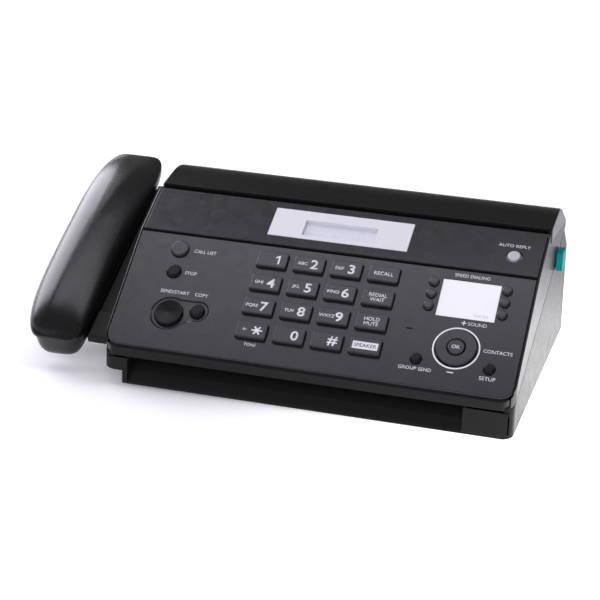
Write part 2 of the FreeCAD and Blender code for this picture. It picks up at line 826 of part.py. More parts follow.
def make_panels():
    """Operation panel, display panel and what is set into them."""
    panel = new_body("operation_panel", "panel")
    side = "cheek_lip + plate_gap"
    plan = rect(side, "0", "body_width - (%s)" % side, "panel_length - groove_half")
    pad(panel, "XY", "-plate_thick", "plate_thick", plan)
    dress(panel, "Fillet", "corner_radius - 1", line_at("z", y="0"))
    dress(panel, "Fillet", "0.7", flat_at("0"))
    sink = ("-recess_depth", "recess_depth + 0.1")
    neck = [("43", "18.6"), ("58", "26.5"), ("58", "39.9"), ("43", "40.1")]
    start_hollow = ring("39.8", "29", "start_radius + recess_margin")
    copy_hollow = ring("59.3", "33.2", "small_radius + recess_margin")
    for hollow in (start_hollow, copy_hollow, neck):
        pocket(panel, "XY", *sink, hollow, slope="recess_slope")
    pocket(panel, "XY", "-card_sink", "card_sink + 1", rect(
        "card_left - 0.3", "card_low - 0.3", "card_right + 0.3", "card_high + 0.3"))
    groove = [ring("navigator_x", "navigator_s", radius) for radius in ("ring_outer", "ring_inner")]
    pocket(panel, "XY", "-0.5", "2", *groove)
    through = ("-plate_thick - 1", "plate_thick + 3")
    opening = ("key_width + 2 * key_gap", "key_depth + 2 * key_gap")
    grid = [centred(*opening, x, s) for label, x, s in key_spots()]
    pocket(panel, "XY", *through, *grid)
    dress(panel, "Fillet", "key_corner + key_gap", in_key_grid)
    holes = [ring(x, s, "%s + hole_gap" % r) for label, x, s, r in round_spots() if label != "button_set"]
    holes.append(ring("navigator_x", "navigator_s", "navigator_radius + navigator_gap"))
    pocket(panel, "XY", *through, *holes)
    pocket(panel, "XY", *through, centred("4.5", "1", "206.3", "43"))
    keep(panel)

    display = new_body("display_panel", "display")
    plan = rect(side, "groove_half", "body_width - (%s)" % side, "display_length - 0.3")
    pad(display, "XY", "-plate_thick", "plate_thick", plan)
    dress(display, "Fillet", "0.7", flat_at("0"))
    seat = rect("bezel_left - 0.2", "bezel_low - 0.2", "bezel_right + 0.2", "bezel_high + 0.2")
    pocket(display, "XY", "-bezel_sink", "bezel_sink + 1", seat)
    pocket(display, "XY", *through, window_outline("2"))
    pocket(display, "XY", *through, ring("264.2", "17.5", "answer_radius + answer_gap"))
    keep(display)

    bezel = new_body("lcd_bezel", "display")
    outline = rect("bezel_left", "bezel_low", "bezel_right", "bezel_high")
    pad(bezel, "XY", "-bezel_sink", "bezel_sink + bezel_proud", outline)
    dress(bezel, "Fillet", "0.6", upright_above("-bezel_sink"))
    pad(bezel, "XY", "-window_depth", "window_depth - bezel_sink", window_outline("1.2"))
    pocket(bezel, "XY", "-window_depth - 1", "window_depth + 3", window_outline("0"))
    dress(bezel, "Fillet", "0.3", flat_at("bezel_proud"))
    keep(bezel)

    screen = new_body("lcd_screen", "display")
    pad(screen, "XY", "-window_depth - screen_thick", "screen_thick", window_outline("1.7"))
    keep(screen)

    card = new_body("directory_card", "panel")
    pad(card, "XY", "-card_sink", "card_thick", rect("card_left", "card_low", "card_right", "card_high"))
    keep(card)

    board = new_body("key_board", "panel")
    pad(board, "XY", "-9", "1.6", rect("16", "16", "274", "85"))
    keep(board)


def window_outline(margin):
    """Outline of the display window, widened by a margin."""
    return rect(
        "window_left - %s" % margin, "window_low - %s" % margin,
        "window_right + %s" % margin, "window_high + %s" % margin,
    )


def in_key_grid(edge):
    """Tell whether an edge is an upright corner of a keypad opening."""
    if not straight(edge, "z"):
        return False
    middle = edge.CenterOfMass
    return 85 < middle.x < 200 and 10 < middle.y < 90


def make_top_cover():
    """Black crowned lid behind the document slot."""
    lid = new_body("top_cover")
    seam = "0.15"
    front_low = "slot_floor_z + %s" % seam
    outer = [
        ("slot_rear_y", front_low),
        ("slot_rear_y", "top_front_z"),
        ("top_crest_y", "top_crest_z"),
        ("cover_rear_y", "top_rear_z"),
        ("cover_rear_y", "frame_rear_z + %s" % seam),
    ]
    pad(lid, "YZ", "0", "body_width", outer)
    dress(lid, "Fillet", "top_crest_radius", line_at("x", y="top_crest_y"))
    dress(lid, "Fillet", "1.6", line_at("x", y="slot_rear_y", z="top_front_z"))
    dress(lid, "Fillet", "2", end_of_lid)
    inner = [
        ("slot_rear_y + wall", "95"),
        ("slot_rear_y + wall", "top_front_z - 2.9"),
        ("30", "111.3"),
        ("50", "110.6"),
        ("cover_rear_y - wall", "top_rear_z - 2.2"),
        ("cover_rear_y - wall", "90"),
    ]
    pocket(lid, "YZ", *INNER, inner)
    return keep(lid)


def end_of_lid(edge):
    """Tell whether an edge runs along the upper outline of either end of the lid."""
    box = edge.BoundBox
    at_end = box.XMax < 0.01 or box.XMin > number("body_width") - 0.01
    return at_end and box.ZMin > 98.9 and box.YLength > 0.5


def make_handset():
    """Handset in two shells, its cradle and the hook switch."""
    half_w = "handset_width / 2"
    half_l = "handset_length / 2"
    top = new_body("handset_top_shell", "handset", ("handset_x", "0", "0"))
    arch = [
        ("-(%s)" % half_l, "0"),
        (half_l, "0"),
        (half_l, "handset_end_height"),
        ("-(%s)" % half_l, "handset_end_height", ("0", "handset_crown")),
    ]
    pad(top, "YZ", "-(%s)" % half_w, "handset_width", arch)
    dress(top, "Fillet", "handset_corner", lambda edge: straight(edge, "z"))
    dress(top, "Fillet", "8.5", lambda edge: edge.BoundBox.ZMin > number("handset_end_height") - 0.5)
    cavity = centred("handset_width - 10", "handset_length - 18")
    pocket(top, "XY", "-1", "9", cavity)
    keep(top)

    low = new_body("handset_base_shell", "handset", ("handset_x", "0", "0"))
    slab = centred("handset_width - 2 * seam_inset", "handset_length - 2 * seam_inset")
    pad(low, "XY", "-handset_grip_depth", "handset_grip_depth - 0.1", slab)
    dress(low, "Fillet", "handset_corner - seam_inset", lambda edge: straight(edge, "z"))
    dress(low, "Fillet", "3", flat_at("-handset_grip_depth"))
    for sign in (1, -1):
        near = "%d * handset_end_start" % sign
        far = "%d * (handset_length / 2 - 5)" % sign
        low_s, high_s = (near, far) if sign > 0 else (far, near)
        bends = ("4", "16") if sign > 0 else ("16", "4")
        inset = "%s - handset_block_inset" % half_w
        block = rounded("-(%s)" % inset, low_s, inset, high_s, *bends)
        pad(low, "XY", "-handset_end_depth", "handset_end_depth - 2", block)
    dress(low, "Fillet", "3", flat_at("-handset_end_depth"))
    for sign in (1, -1):
        holes = []
        for turn in range(6):
            angle = math.radians(60 * turn)
            across = "%.3f" % (7 * math.cos(angle))
            along = "%d * 72 + %.3f" % (sign, 7 * math.sin(angle))
            holes.append(ring(across, along, "1.1"))
        holes.append(ring("0", "%d * 72" % sign, "1.1"))
        pocket(low, "XY", "-handset_end_depth - 1", "4", *holes)
    keep(low)

    cradle = new_body("handset_cradle", "handset", ("0", "0", "0"))
    flange_left = "handset_x + handset_width / 2 + cradle_gap"
    pad(cradle, "XY", "-1", "6", rect(flange_left, "-87", "-0.6", "-62"))
    dress(cradle, "Fillet", "1.5", flat_at("5"))
    saddle_top = "-handset_grip_depth - cradle_gap"
    shelf_low = "%s - 5.5" % saddle_top
    pad(cradle, "XY", shelf_low, "4 - (%s)" % shelf_low, rect(flange_left, "-64.5", "-0.6", "-62"))
    pad(cradle, "XY", shelf_low, "2 - (%s)" % shelf_low, rect(flange_left, "-64.5", "-0.6", "70"))
    step_left = "%s - handset_block_inset" % flange_left
    pad(cradle, "XY", shelf_low, "5.5", rect(step_left, "-78", "-0.6", "75"))
    deep = "16"
    pad(cradle, "XY", "%s - %s" % (saddle_top, deep), "%s - 5" % deep, rect(
        "handset_x - 22", "-42", "-0.6", "42"))
    pad(cradle, "XY", shelf_low, "5.5", rect("handset_x - 22", "-46", "-0.6", "46"))
    underside = rect("handset_x - 19.5", "-39.5", "-3.1", "39.5")
    pocket(cradle, "XY", "-40", "40 + (%s) - 5" % saddle_top, underside)
    web = [("-85", "-8.5"), ("80", "-34"), ("80", "-8"), ("-60", "-8"), ("-60", "2"), ("-85", "2")]
    pad(cradle, "YZ", "-3.1", "2.5", web)
    for along, out in (("-68", "-7"), ("68", "-27")):
        pad(cradle, "YZ", "-1.6", "1.6", ring(along, out, "3.2"))
    pocket(cradle, "XY", "-40", "60", centred("8.6", "14.6", "handset_x", "28"))
    keep(cradle)

    hook = new_body("hook_switch", "handset", ("handset_x", "28", "0"))
    pad(hook, "XY", "%s - 9" % saddle_top, "9.3", centred("8", "14"))
    dress(hook, "Fillet", "1", flat_at("%s + 0.3" % saddle_top))
    pad(hook, "XY", "%s - 11" % saddle_top, "2", centred("12", "18"))
    keep(hook)


def gear_face(teeth, turn):
    """Involute gear outline in the YZ plane, with its first tooth turned to an angle."""
    wire = fcgear.FCWireBuilder()
    involute.CreateExternalGear(wire, number("gear_module"), teeth, 20, True)
    outline = Part.Wire([curve.toShape() for curve in wire.wire])
    face = Part.Face(outline)
    face.rotate(Vector(), Vector(0, 0, 1), turn)
    upright = Placement(Vector(), Rotation(Vector(1, 1, 1), 120))
    return face.transformGeometry(upright.toMatrix())


def pinion_centre():
    """Give the pinion's axis: equally far from the feed roller and the platen, below them."""
    feed = Vector(0, number("feed_y"), number("feed_z"))
    platen = Vector(0, number("platen_y"), number("platen_z"))
    middle = (feed + platen) * 0.5
    run = platen - feed
    half = run.Length / 2
    down = math.sqrt(number("gear_distance") ** 2 - half ** 2)
    run.normalize()
    return middle + Vector(0, run.z, -run.y) * down


def gear_solid(teeth, turn, centre):
    """Gear blank between its two faces, about an axis along X."""
    face = gear_face(teeth, turn)
    solid = face.extrude(Vector(number("gear_width"), 0, 0))
    solid.translate(Vector(number("body_left + gear_left"), centre.y, centre.z))
    return solid


def rod(low, high, radius, centre):
    """Round rod along X between two stations measured from the left of the body."""
    start = Vector(number("body_left") + low, centre.y, centre.z)
    return Part.makeCylinder(radius, high - low, start, Vector(1, 0, 0))


def shape_node(label, shape):
    """Enter a shape whose outline only a formula can give."""
    item = doc.addObject("Part::Feature", label)
    item.Label = label
    item.Shape = shape
    keep(item)


def make_drive():
    """Rollers with their gears, motor, pinion and paper roll."""
    pinion_at = pinion_centre()
    teeth = int(number("gear_teeth"))
    few = int(number("pinion_teeth"))
    for name in ("feed", "platen"):
        centre = Vector(0, number(name + "_y"), number(name + "_z"))
        heading = math.degrees(math.atan2(centre.z - pinion_at.z, centre.y - pinion_at.y))
        share = (heading / (360 / few)) % 1
        turn = heading + 180 - (0.5 - share) * 360 / teeth
        shape = rod(number("roller_left"), number("roller_right"), number("roller_radius"), centre)
        shaft = rod(number("plate_left") - 2, number("gear_left") + 1, number("shaft_radius"), centre)
        shape = shape.fuse(shaft).fuse(gear_solid(teeth, turn, centre))
        shape_node(name + "_roller", shape.removeSplitter())
    pinion = gear_solid(few, 0, pinion_at)
    axle = rod(number("gear_left"), number("motor_left") + 8, number("motor_shaft_radius"), pinion_at)
    shape_node("motor_pinion", pinion.fuse(axle).removeSplitter())

    motor = new_body("drive_motor")
    spot = ("%.6f" % pinion_at.y, "%.6f" % pinion_at.z)
    pad(motor, "YZ", "motor_left", "motor_length", ring(*spot, "motor_radius"))
    dress(motor, "Fillet", "1", lambda edge: edge.BoundBox.XLength < 0.01)
    flange = centred("40", "9", *spot)
    pad(motor, "YZ", "motor_left", "1", flange)
    pocket(motor, "YZ", "motor_left - 1", "10", ring(*spot, "motor_shaft_radius + shaft_gap"))
    keep(motor)

    roll = new_body("paper_roll")
    outline = [ring("roll_y", "roll_z", radius) for radius in ("roll_radius", "roll_core_radius")]
    pad(roll, "YZ", "roller_left + 1", "roller_right - roller_left - 2", *outline)
    keep(roll)


def make_chassis():
    """Inner chassis: document deck, side plates with bearings, roll trough, motor plate."""
    frame = new_body("chassis_frame")
    between = ("plate_left + side_plate", "plate_right - plate_left - side_plate")
    whole = ("plate_left", "plate_right - plate_left + side_plate")
    pad(frame, "YZ", *whole, ring("roll_y", "roll_z", "trough_radius + 2.5"))
    pocket(frame, "YZ", *between, ring("roll_y", "roll_z", "trough_radius"))
    pocket(frame, "YZ", *between, rect("roll_y - 40", "44", "roll_y + 40", "100"))
    pocket(frame, "YZ", *whole, [
        ("10", parting("10", "-3")),
        ("100", parting("100", "-3")),
        ("100", "130"),
        ("10", "130"),
    ])
    side = [
        ("-84", "foot_height + wall"),
        ("84", "foot_height + wall"),
        ("84", "60"),
        ("66", parting("66", "-6")),
        ("-84", parting("-84", "-3")),
    ]
    pad(frame, "YZ", "plate_left", "side_plate", side)
    pad(frame, "YZ", "plate_right", "side_plate", side)
    deck = [
        ("front_y + 14", parting("front_y + 14", "-5.5")),
        ("-28", parting("-28", "-5.5")),
        ("-28", parting("-28", "-2.8")),
        ("front_y + 14", parting("front_y + 14", "-2.8")),
    ]
    pad(frame, "YZ", "plate_left - 2", "plate_right - plate_left + side_plate + 1.5", deck)
    pad(frame, "XY", "foot_height + wall", "2.5", rect("plate_right", "-22", "motor_left", "14"))
    spot = pinion_centre()
    mount = rect("-22", "foot_height + wall", "14", "%.4f + 8" % spot.z)
    pad(frame, "YZ", "motor_left - 2", "2", mount)
    for along, height in (("feed_y", "feed_z"), ("platen_y", "platen_z")):
        hole = ring(along, height, "shaft_radius + shaft_gap")
        pocket(frame, "YZ", "plate_left - 1", "side_plate + 2", hole)
        pocket(frame, "YZ", "plate_right - 1", "side_plate + 2", hole)
    pocket(frame, "YZ", "motor_left - 3", "4", ring("%.6f" % spot.y, "%.6f" % spot.z, "5"))
    bosses = [ring(x, y, "4.2") for x, y in screw_spots()]
    pad(frame, "XY", "foot_height + wall", "10", *bosses)
    bores = [ring(x, y, "screw_radius") for x, y in screw_spots()]
    pocket(frame, "XY", "foot_height + wall - 1", "9", *bores)
    seat = new_box("sensor_seat", "deck", ("roller_left - 0.4", "57.6", "-20"), (
        "roller_right - roller_left + 0.8", "14.8", "30"))
    keep(cut_away("inner_chassis", frame, [seat]))


def make_insides():
    """Sensor, print head, boards, speaker, sockets and release lever."""
    sensor = new_body("image_sensor", "deck")
    pad(sensor, "YZ", "roller_left", "roller_right - roller_left", rect("58", "-15", "72", "-2.6"))
    keep(sensor)

    head = new_body("thermal_head", "deck")
    profile = [
        ("118.8", "-1.2"),
        ("123", "-1.2"),
        ("123", "1"),
        ("138", "1"),
        ("138", "8"),
        ("119.6", "8"),
        ("118.8", "1"),
    ]
    pad(head, "YZ", "roller_left", "roller_right - roller_left", profile)
    keep(head)

    board = new_body("main_board")
    pad(board, "XY", "foot_height + wall + 4", "1.6", rect("36", "-80", "176", "-26"))
    chips = (
        ("60", "-55", "22", "22", "2.2"),
        ("95", "-50", "16", "16", "2"),
        ("130", "-62", "12", "30", "9"),
        ("158", "-50", "14", "14", "11"),
    )
    for x, y, width, depth, height in chips:
        pad(board, "XY", "foot_height + wall + 5.6", height, centred(width, depth, x, y))
    keep(board)

    speaker = new_body("speaker")
    pad(speaker, "XY", "foot_height + wall", "5", ring("215", "-55", "19"))
    pad(speaker, "XY", "foot_height + wall + 5", "5", ring("215", "-55", "11"))
    pocket(speaker, "XY", "foot_height + wall - 1", "4", ring("215", "-55", "16.5"))
    keep(speaker)

    inlet = new_body("power_inlet")
    pad(inlet, "YZ", "236", "24", rect("rear_y - 20", "10", "rear_y - 0.5", "28"))
    socket = rect("rear_y - 13", "13", "rear_y + 1", "25")
    pocket(inlet, "YZ", "239", "18", socket)
    for x in ("244", "250.8"):
        pad(inlet, "YZ", x, "1.2", rect("rear_y - 13.5", "17", "rear_y - 3", "21"))
    keep(inlet)

    jacks = new_body("line_jacks")
    pad(jacks, "YZ", "40", "34", rect("rear_y - 18", "10", "rear_y - 0.5", "24"))
    for x in ("42", "60"):
        pocket(jacks, "YZ", x, "12", rect("rear_y - 12", "12.5", "rear_y + 1", "19.5"))
        pocket(jacks, "YZ", "%s + 3.5" % x, "5", rect("rear_y - 12", "19", "rear_y + 1", "21.5"))
    keep(jacks)

    lever = new_body("release_lever")
    pad(lever, "YZ", "276", "body_width - 276 + 0.5", ring("lever_y", "lever_z", "lever_shaft_radius"))
    tab = [
        ("lever_y - 6.5", "lever_z - 3.4"),
        ("lever_y + 6.5", "lever_z - 3.4"),
        ("lever_y + 7", "lever_z + 10.5"),
        ("lever_y - 7", "lever_z + 10.5"),
    ]
    pad(lever, "YZ", "body_width + 0.5", "lever_reach - 0.5", tab)
    dress(lever, "Fillet", "1.5", crosswise_above("lever_z + 8"))
    arm = [
        ("lever_y - 3", "lever_z - 8"),
        ("lever_y + 4", "lever_z - 8"),
        ("lever_y + 4", "lever_z + 2.5"),
        ("lever_y - 3", "lever_z + 2.5"),
        ("lever_y - 9.6", "lever_z - 2"),
        ("lever_y - 9.6", "lever_z - 4.5"),
        ("lever_y - 3", "lever_z - 4.5"),
    ]
    pad(lever, "YZ", "274", "4", arm)
    keep(lever)


make_lower_case()
make_fixings()
make_cover_frame()
make_panels()
make_top_cover()
make_keys()
make_handset()
make_chassis()
make_drive()
make_insides()
doc.recompute()

faults = []
for item in doc.Objects:
    if "Invalid" in item.State or "Error" in item.State:
        faults.append("%s is %s" % (item.Label, item.State))
for label, item in nodes.items():
    if item.Shape.isNull() or not item.Shape.isValid():
        faults.append("%s has no valid shape" % label)
if faults:
    raise RuntimeError("; ".join(faults))

os.makedirs("parts", exist_ok=True)
for label, item in nodes.items():
    item.Shape.exportStep("parts/%s.step" % label)
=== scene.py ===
"""Looks of a desktop thermal-paper fax machine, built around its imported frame.

Lengths are in metres. The front faces -Y and +Z is up, as in the frame. Each sub-assembly is a class
that holds its sizes and builds its own pieces; finishes are made once and shared.
"""
import json
import logging
import math
from dataclasses import dataclass
from enum import Enum
from typing import Sequence

import bmesh
import bpy
from mathutils import Matrix, Vector


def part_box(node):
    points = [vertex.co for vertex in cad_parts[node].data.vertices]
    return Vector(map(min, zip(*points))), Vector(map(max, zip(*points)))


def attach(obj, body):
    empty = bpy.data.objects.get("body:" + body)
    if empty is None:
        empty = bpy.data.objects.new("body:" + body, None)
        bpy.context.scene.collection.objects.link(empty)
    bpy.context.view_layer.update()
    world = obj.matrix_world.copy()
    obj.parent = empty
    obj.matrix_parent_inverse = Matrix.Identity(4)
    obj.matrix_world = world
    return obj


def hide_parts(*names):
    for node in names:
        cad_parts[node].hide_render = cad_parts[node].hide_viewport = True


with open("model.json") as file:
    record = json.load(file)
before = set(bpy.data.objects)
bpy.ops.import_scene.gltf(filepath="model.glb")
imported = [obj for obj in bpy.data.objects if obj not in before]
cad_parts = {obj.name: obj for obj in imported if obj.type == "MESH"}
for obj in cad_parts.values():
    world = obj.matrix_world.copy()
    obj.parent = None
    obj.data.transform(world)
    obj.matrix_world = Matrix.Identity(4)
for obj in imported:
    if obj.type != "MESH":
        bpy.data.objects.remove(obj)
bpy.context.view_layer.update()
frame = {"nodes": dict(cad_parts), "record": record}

MM = 0.001
log = logging.getLogger("fax_machine")

Colour = tuple[float, float, float]


class Rider(Enum):
    """Bodies of the frame that carry new pieces."""

    COVER = "front_cover"
    HANDSET = "handset"


@dataclass(frozen=True)
class Facet:
    """Tilted working plane of the machine, with across, along and out directions."""

    origin: Vector
    slope: float

    # Least upward and most sideways part of a face's normal, and how near it is to the plane's slope.
    UPWARD = 0.3
    SIDEWAYS = 0.01
    OFF_SLOPE = 0.002

    @classmethod
    def of(cls, node: str) -> "Facet":
        """Find the plane of the largest face of a node that looks up.

        Args:
            node: name of the CAD node.

        Returns:
            The facet, whose origin is at the left of the machine on the lowest edge of that face.
        """
        mesh = frame["nodes"][node].data
        upward = [
            face
            for face in mesh.polygons
            if face.normal.z > cls.UPWARD and abs(face.normal.x) < cls.SIDEWAYS
        ]
        areas: dict[tuple[float, float], float] = {}
        for face in upward:
            key = (round(face.normal.y, 3), round(face.normal.z, 3))
            areas[key] = areas.get(key, 0.0) + face.area
        best = max(areas, key=lambda key: areas[key])
        slope = math.atan2(-best[0], best[1])
        along = Vector((0, math.cos(slope), math.sin(slope)))
        spots = [
            mesh.vertices[index].co
            for face in upward
            if abs(face.normal.y - best[0]) < cls.OFF_SLOPE
            for index in face.vertices
        ]
        lowest = min(spots, key=lambda spot: spot.dot(along))
        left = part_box("lower_case")[0].x
        return cls(Vector((left, lowest.y, lowest.z)), slope)

    @property
    def axes(self) -> tuple[Vector, Vector, Vector]:
        """Give the directions of the facet.

        Returns:
            Across, along and out.
        """
        along = Vector((0, math.cos(self.slope), math.sin(self.slope)))
        out = Vector((0, -math.sin(self.slope), math.cos(self.slope)))
        return Vector((1, 0, 0)), along, out

    def spot(self, across: float, along: float, out: float = 0.0) -> Vector:
        """Give a point of the facet in the frame."""
        u, v, n = self.axes
        return self.origin + u * across + v * along + n * out

    def matrix(self, across: float, along: float, out: float = 0.0) -> Matrix:
        """Give the transform that lays a flat piece on the facet at a point.

        Args:
            across: distance from the left of the machine.
            along: distance up the slope.
            out: height over the facet.

        Returns:
            The transform from the piece's own plane to the frame.
        """
        u, v, n = self.axes
        turn = Matrix((u, v, n)).transposed().to_4x4()
        return Matrix.Translation(self.spot(across, along, out)) @ turn

    def extent(self, node: str) -> tuple[Vector, Vector]:
        """Give the lowest and highest corner of a node in the directions of the facet.

        Args:
            node: name of the CAD node.

        Returns:
            Two vectors of across, along and out.
        """
        rows = [
            [(vertex.co - self.origin).dot(axis) for axis in self.axes]
            for vertex in frame["nodes"][node].data.vertices
        ]
        return Vector(map(min, zip(*rows))), Vector(map(max, zip(*rows)))

    def top_of(self, node: str) -> Vector:
        """Give the middle of a node's top, as across, along and out."""
        low, high = self.extent(node)
        return Vector(((low.x + high.x) / 2, (low.y + high.y) / 2, high.z))


@dataclass(frozen=True)
class Finish:
    """Surface finish: colour, gloss, the small irregularities of the real material and lightened edges,
    which are handling wear on most finishes and a painted highlight on the cover.
    """

    colour: Colour
    roughness: float
    grain_size: float = 0.35 * MM
    grain_depth: float = 0.006 * MM
    mottle: float = 0.10
    smudge: float = 0.05
    # Share and colour of the lightened edges: handling wear, and on the cover mostly a painted highlight.
    wear_and_highlight: float = 0.0
    wear_and_highlight_colour: Colour = (0.22, 0.22, 0.23)
    dust: float = 0.0
    metallic: float = 0.0
    specular: float = 0.5
    coat: float = 0.0
    side_coat: float = 0.0


FINISHES: dict[str, Finish] = {
    "case_plastic": Finish((0.014, 0.0132, 0.0122), 0.34, wear_and_highlight=0.02, dust=0.002, specular=0.08),
    # The cover's strong edge lightening is a painted highlight along its cheek edges and front corners,
    # with a little real wear.
    "cover_plastic": Finish((0.014, 0.0132, 0.0122), 0.32, wear_and_highlight=0.25, dust=0.008, specular=0.10,
                            side_coat=1.0),
    "panel_plastic": Finish((0.012, 0.012, 0.014), 0.25, grain_depth=0.004 * MM, wear_and_highlight=0.12, dust=0.01),
    "lid_plastic": Finish((0.0045, 0.0042, 0.0036), 0.26, grain_depth=0.002 * MM, wear_and_highlight=0.04, dust=0.004,
                          smudge=0.03, specular=0.18),
    "key_plastic": Finish((0.021, 0.021, 0.023), 0.28, grain_size=0.25 * MM, grain_depth=0.004 * MM,
                          wear_and_highlight=0.12),
    "button_plastic": Finish((0.008, 0.008, 0.009), 0.26, grain_size=0.25 * MM, grain_depth=0.003 * MM,
                             wear_and_highlight=0.08, specular=0.16),
    "handset_plastic": Finish((0.004, 0.004, 0.0045), 0.27, grain_size=0.3 * MM, grain_depth=0.0015 * MM,
                              wear_and_highlight=0.03, dust=0.002, smudge=0.03),
    "silver_plate": Finish((0.59, 0.585, 0.62), 0.42, grain_size=0.2 * MM, mottle=0.04, wear_and_highlight=0.4,
                           wear_and_highlight_colour=(0.7, 0.7, 0.73)),
    "card_paper": Finish((0.765, 0.765, 0.785), 0.55, grain_depth=0.01 * MM, mottle=0.025),
    "lever_plastic": Finish((0.001, 0.24, 0.24), 0.45, wear_and_highlight=0.1, wear_and_highlight_colour=(0.03, 0.35, 0.35),
                            specular=0.1),
    "answer_plastic": Finish((0.38, 0.38, 0.405), 0.30, mottle=0.04, wear_and_highlight=0.2,
                             wear_and_highlight_colour=(0.55, 0.55, 0.57)),
    "foot_rubber": Finish((0.016, 0.016, 0.017), 0.85, grain_depth=0.02 * MM, dust=0.15, specular=0.3),
    "roller_rubber": Finish((0.022, 0.022, 0.024), 0.75, grain_size=0.6 * MM, specular=0.35),
    "thermal_paper": Finish((0.86, 0.86, 0.83), 0.5, mottle=0.03, grain_depth=0.01 * MM),
    "steel": Finish((0.55, 0.55, 0.57), 0.34, metallic=1.0, mottle=0.12, grain_size=0.8 * MM),
    "board": Finish((0.012, 0.10, 0.035), 0.35, mottle=0.35, grain_size=2.2 * MM, coat=0.4),
    "inner_plastic": Finish((0.030, 0.030, 0.032), 0.5, dust=0.06),
    "aluminium_sink": Finish((0.70, 0.70, 0.72), 0.4, metallic=1.0, grain_size=0.9 * MM),
    "gear_plastic": Finish((0.70, 0.69, 0.64), 0.45, mottle=0.05),
    "legend_ink": Finish((0.62, 0.62, 0.64), 0.55, mottle=0.06, grain_size=0.15 * MM),
    "dark_ink": Finish((0.05, 0.05, 0.055), 0.55, mottle=0.15, grain_size=0.15 * MM),
    "grey_ink": Finish((0.45, 0.45, 0.47), 0.6, mottle=0.1, grain_size=0.15 * MM),
    "white_trim": Finish((0.74, 0.74, 0.75), 0.34, mottle=0.03, wear_and_highlight=0.2, wear_and_highlight_colour=(0.7, 0.7, 0.7)),
}


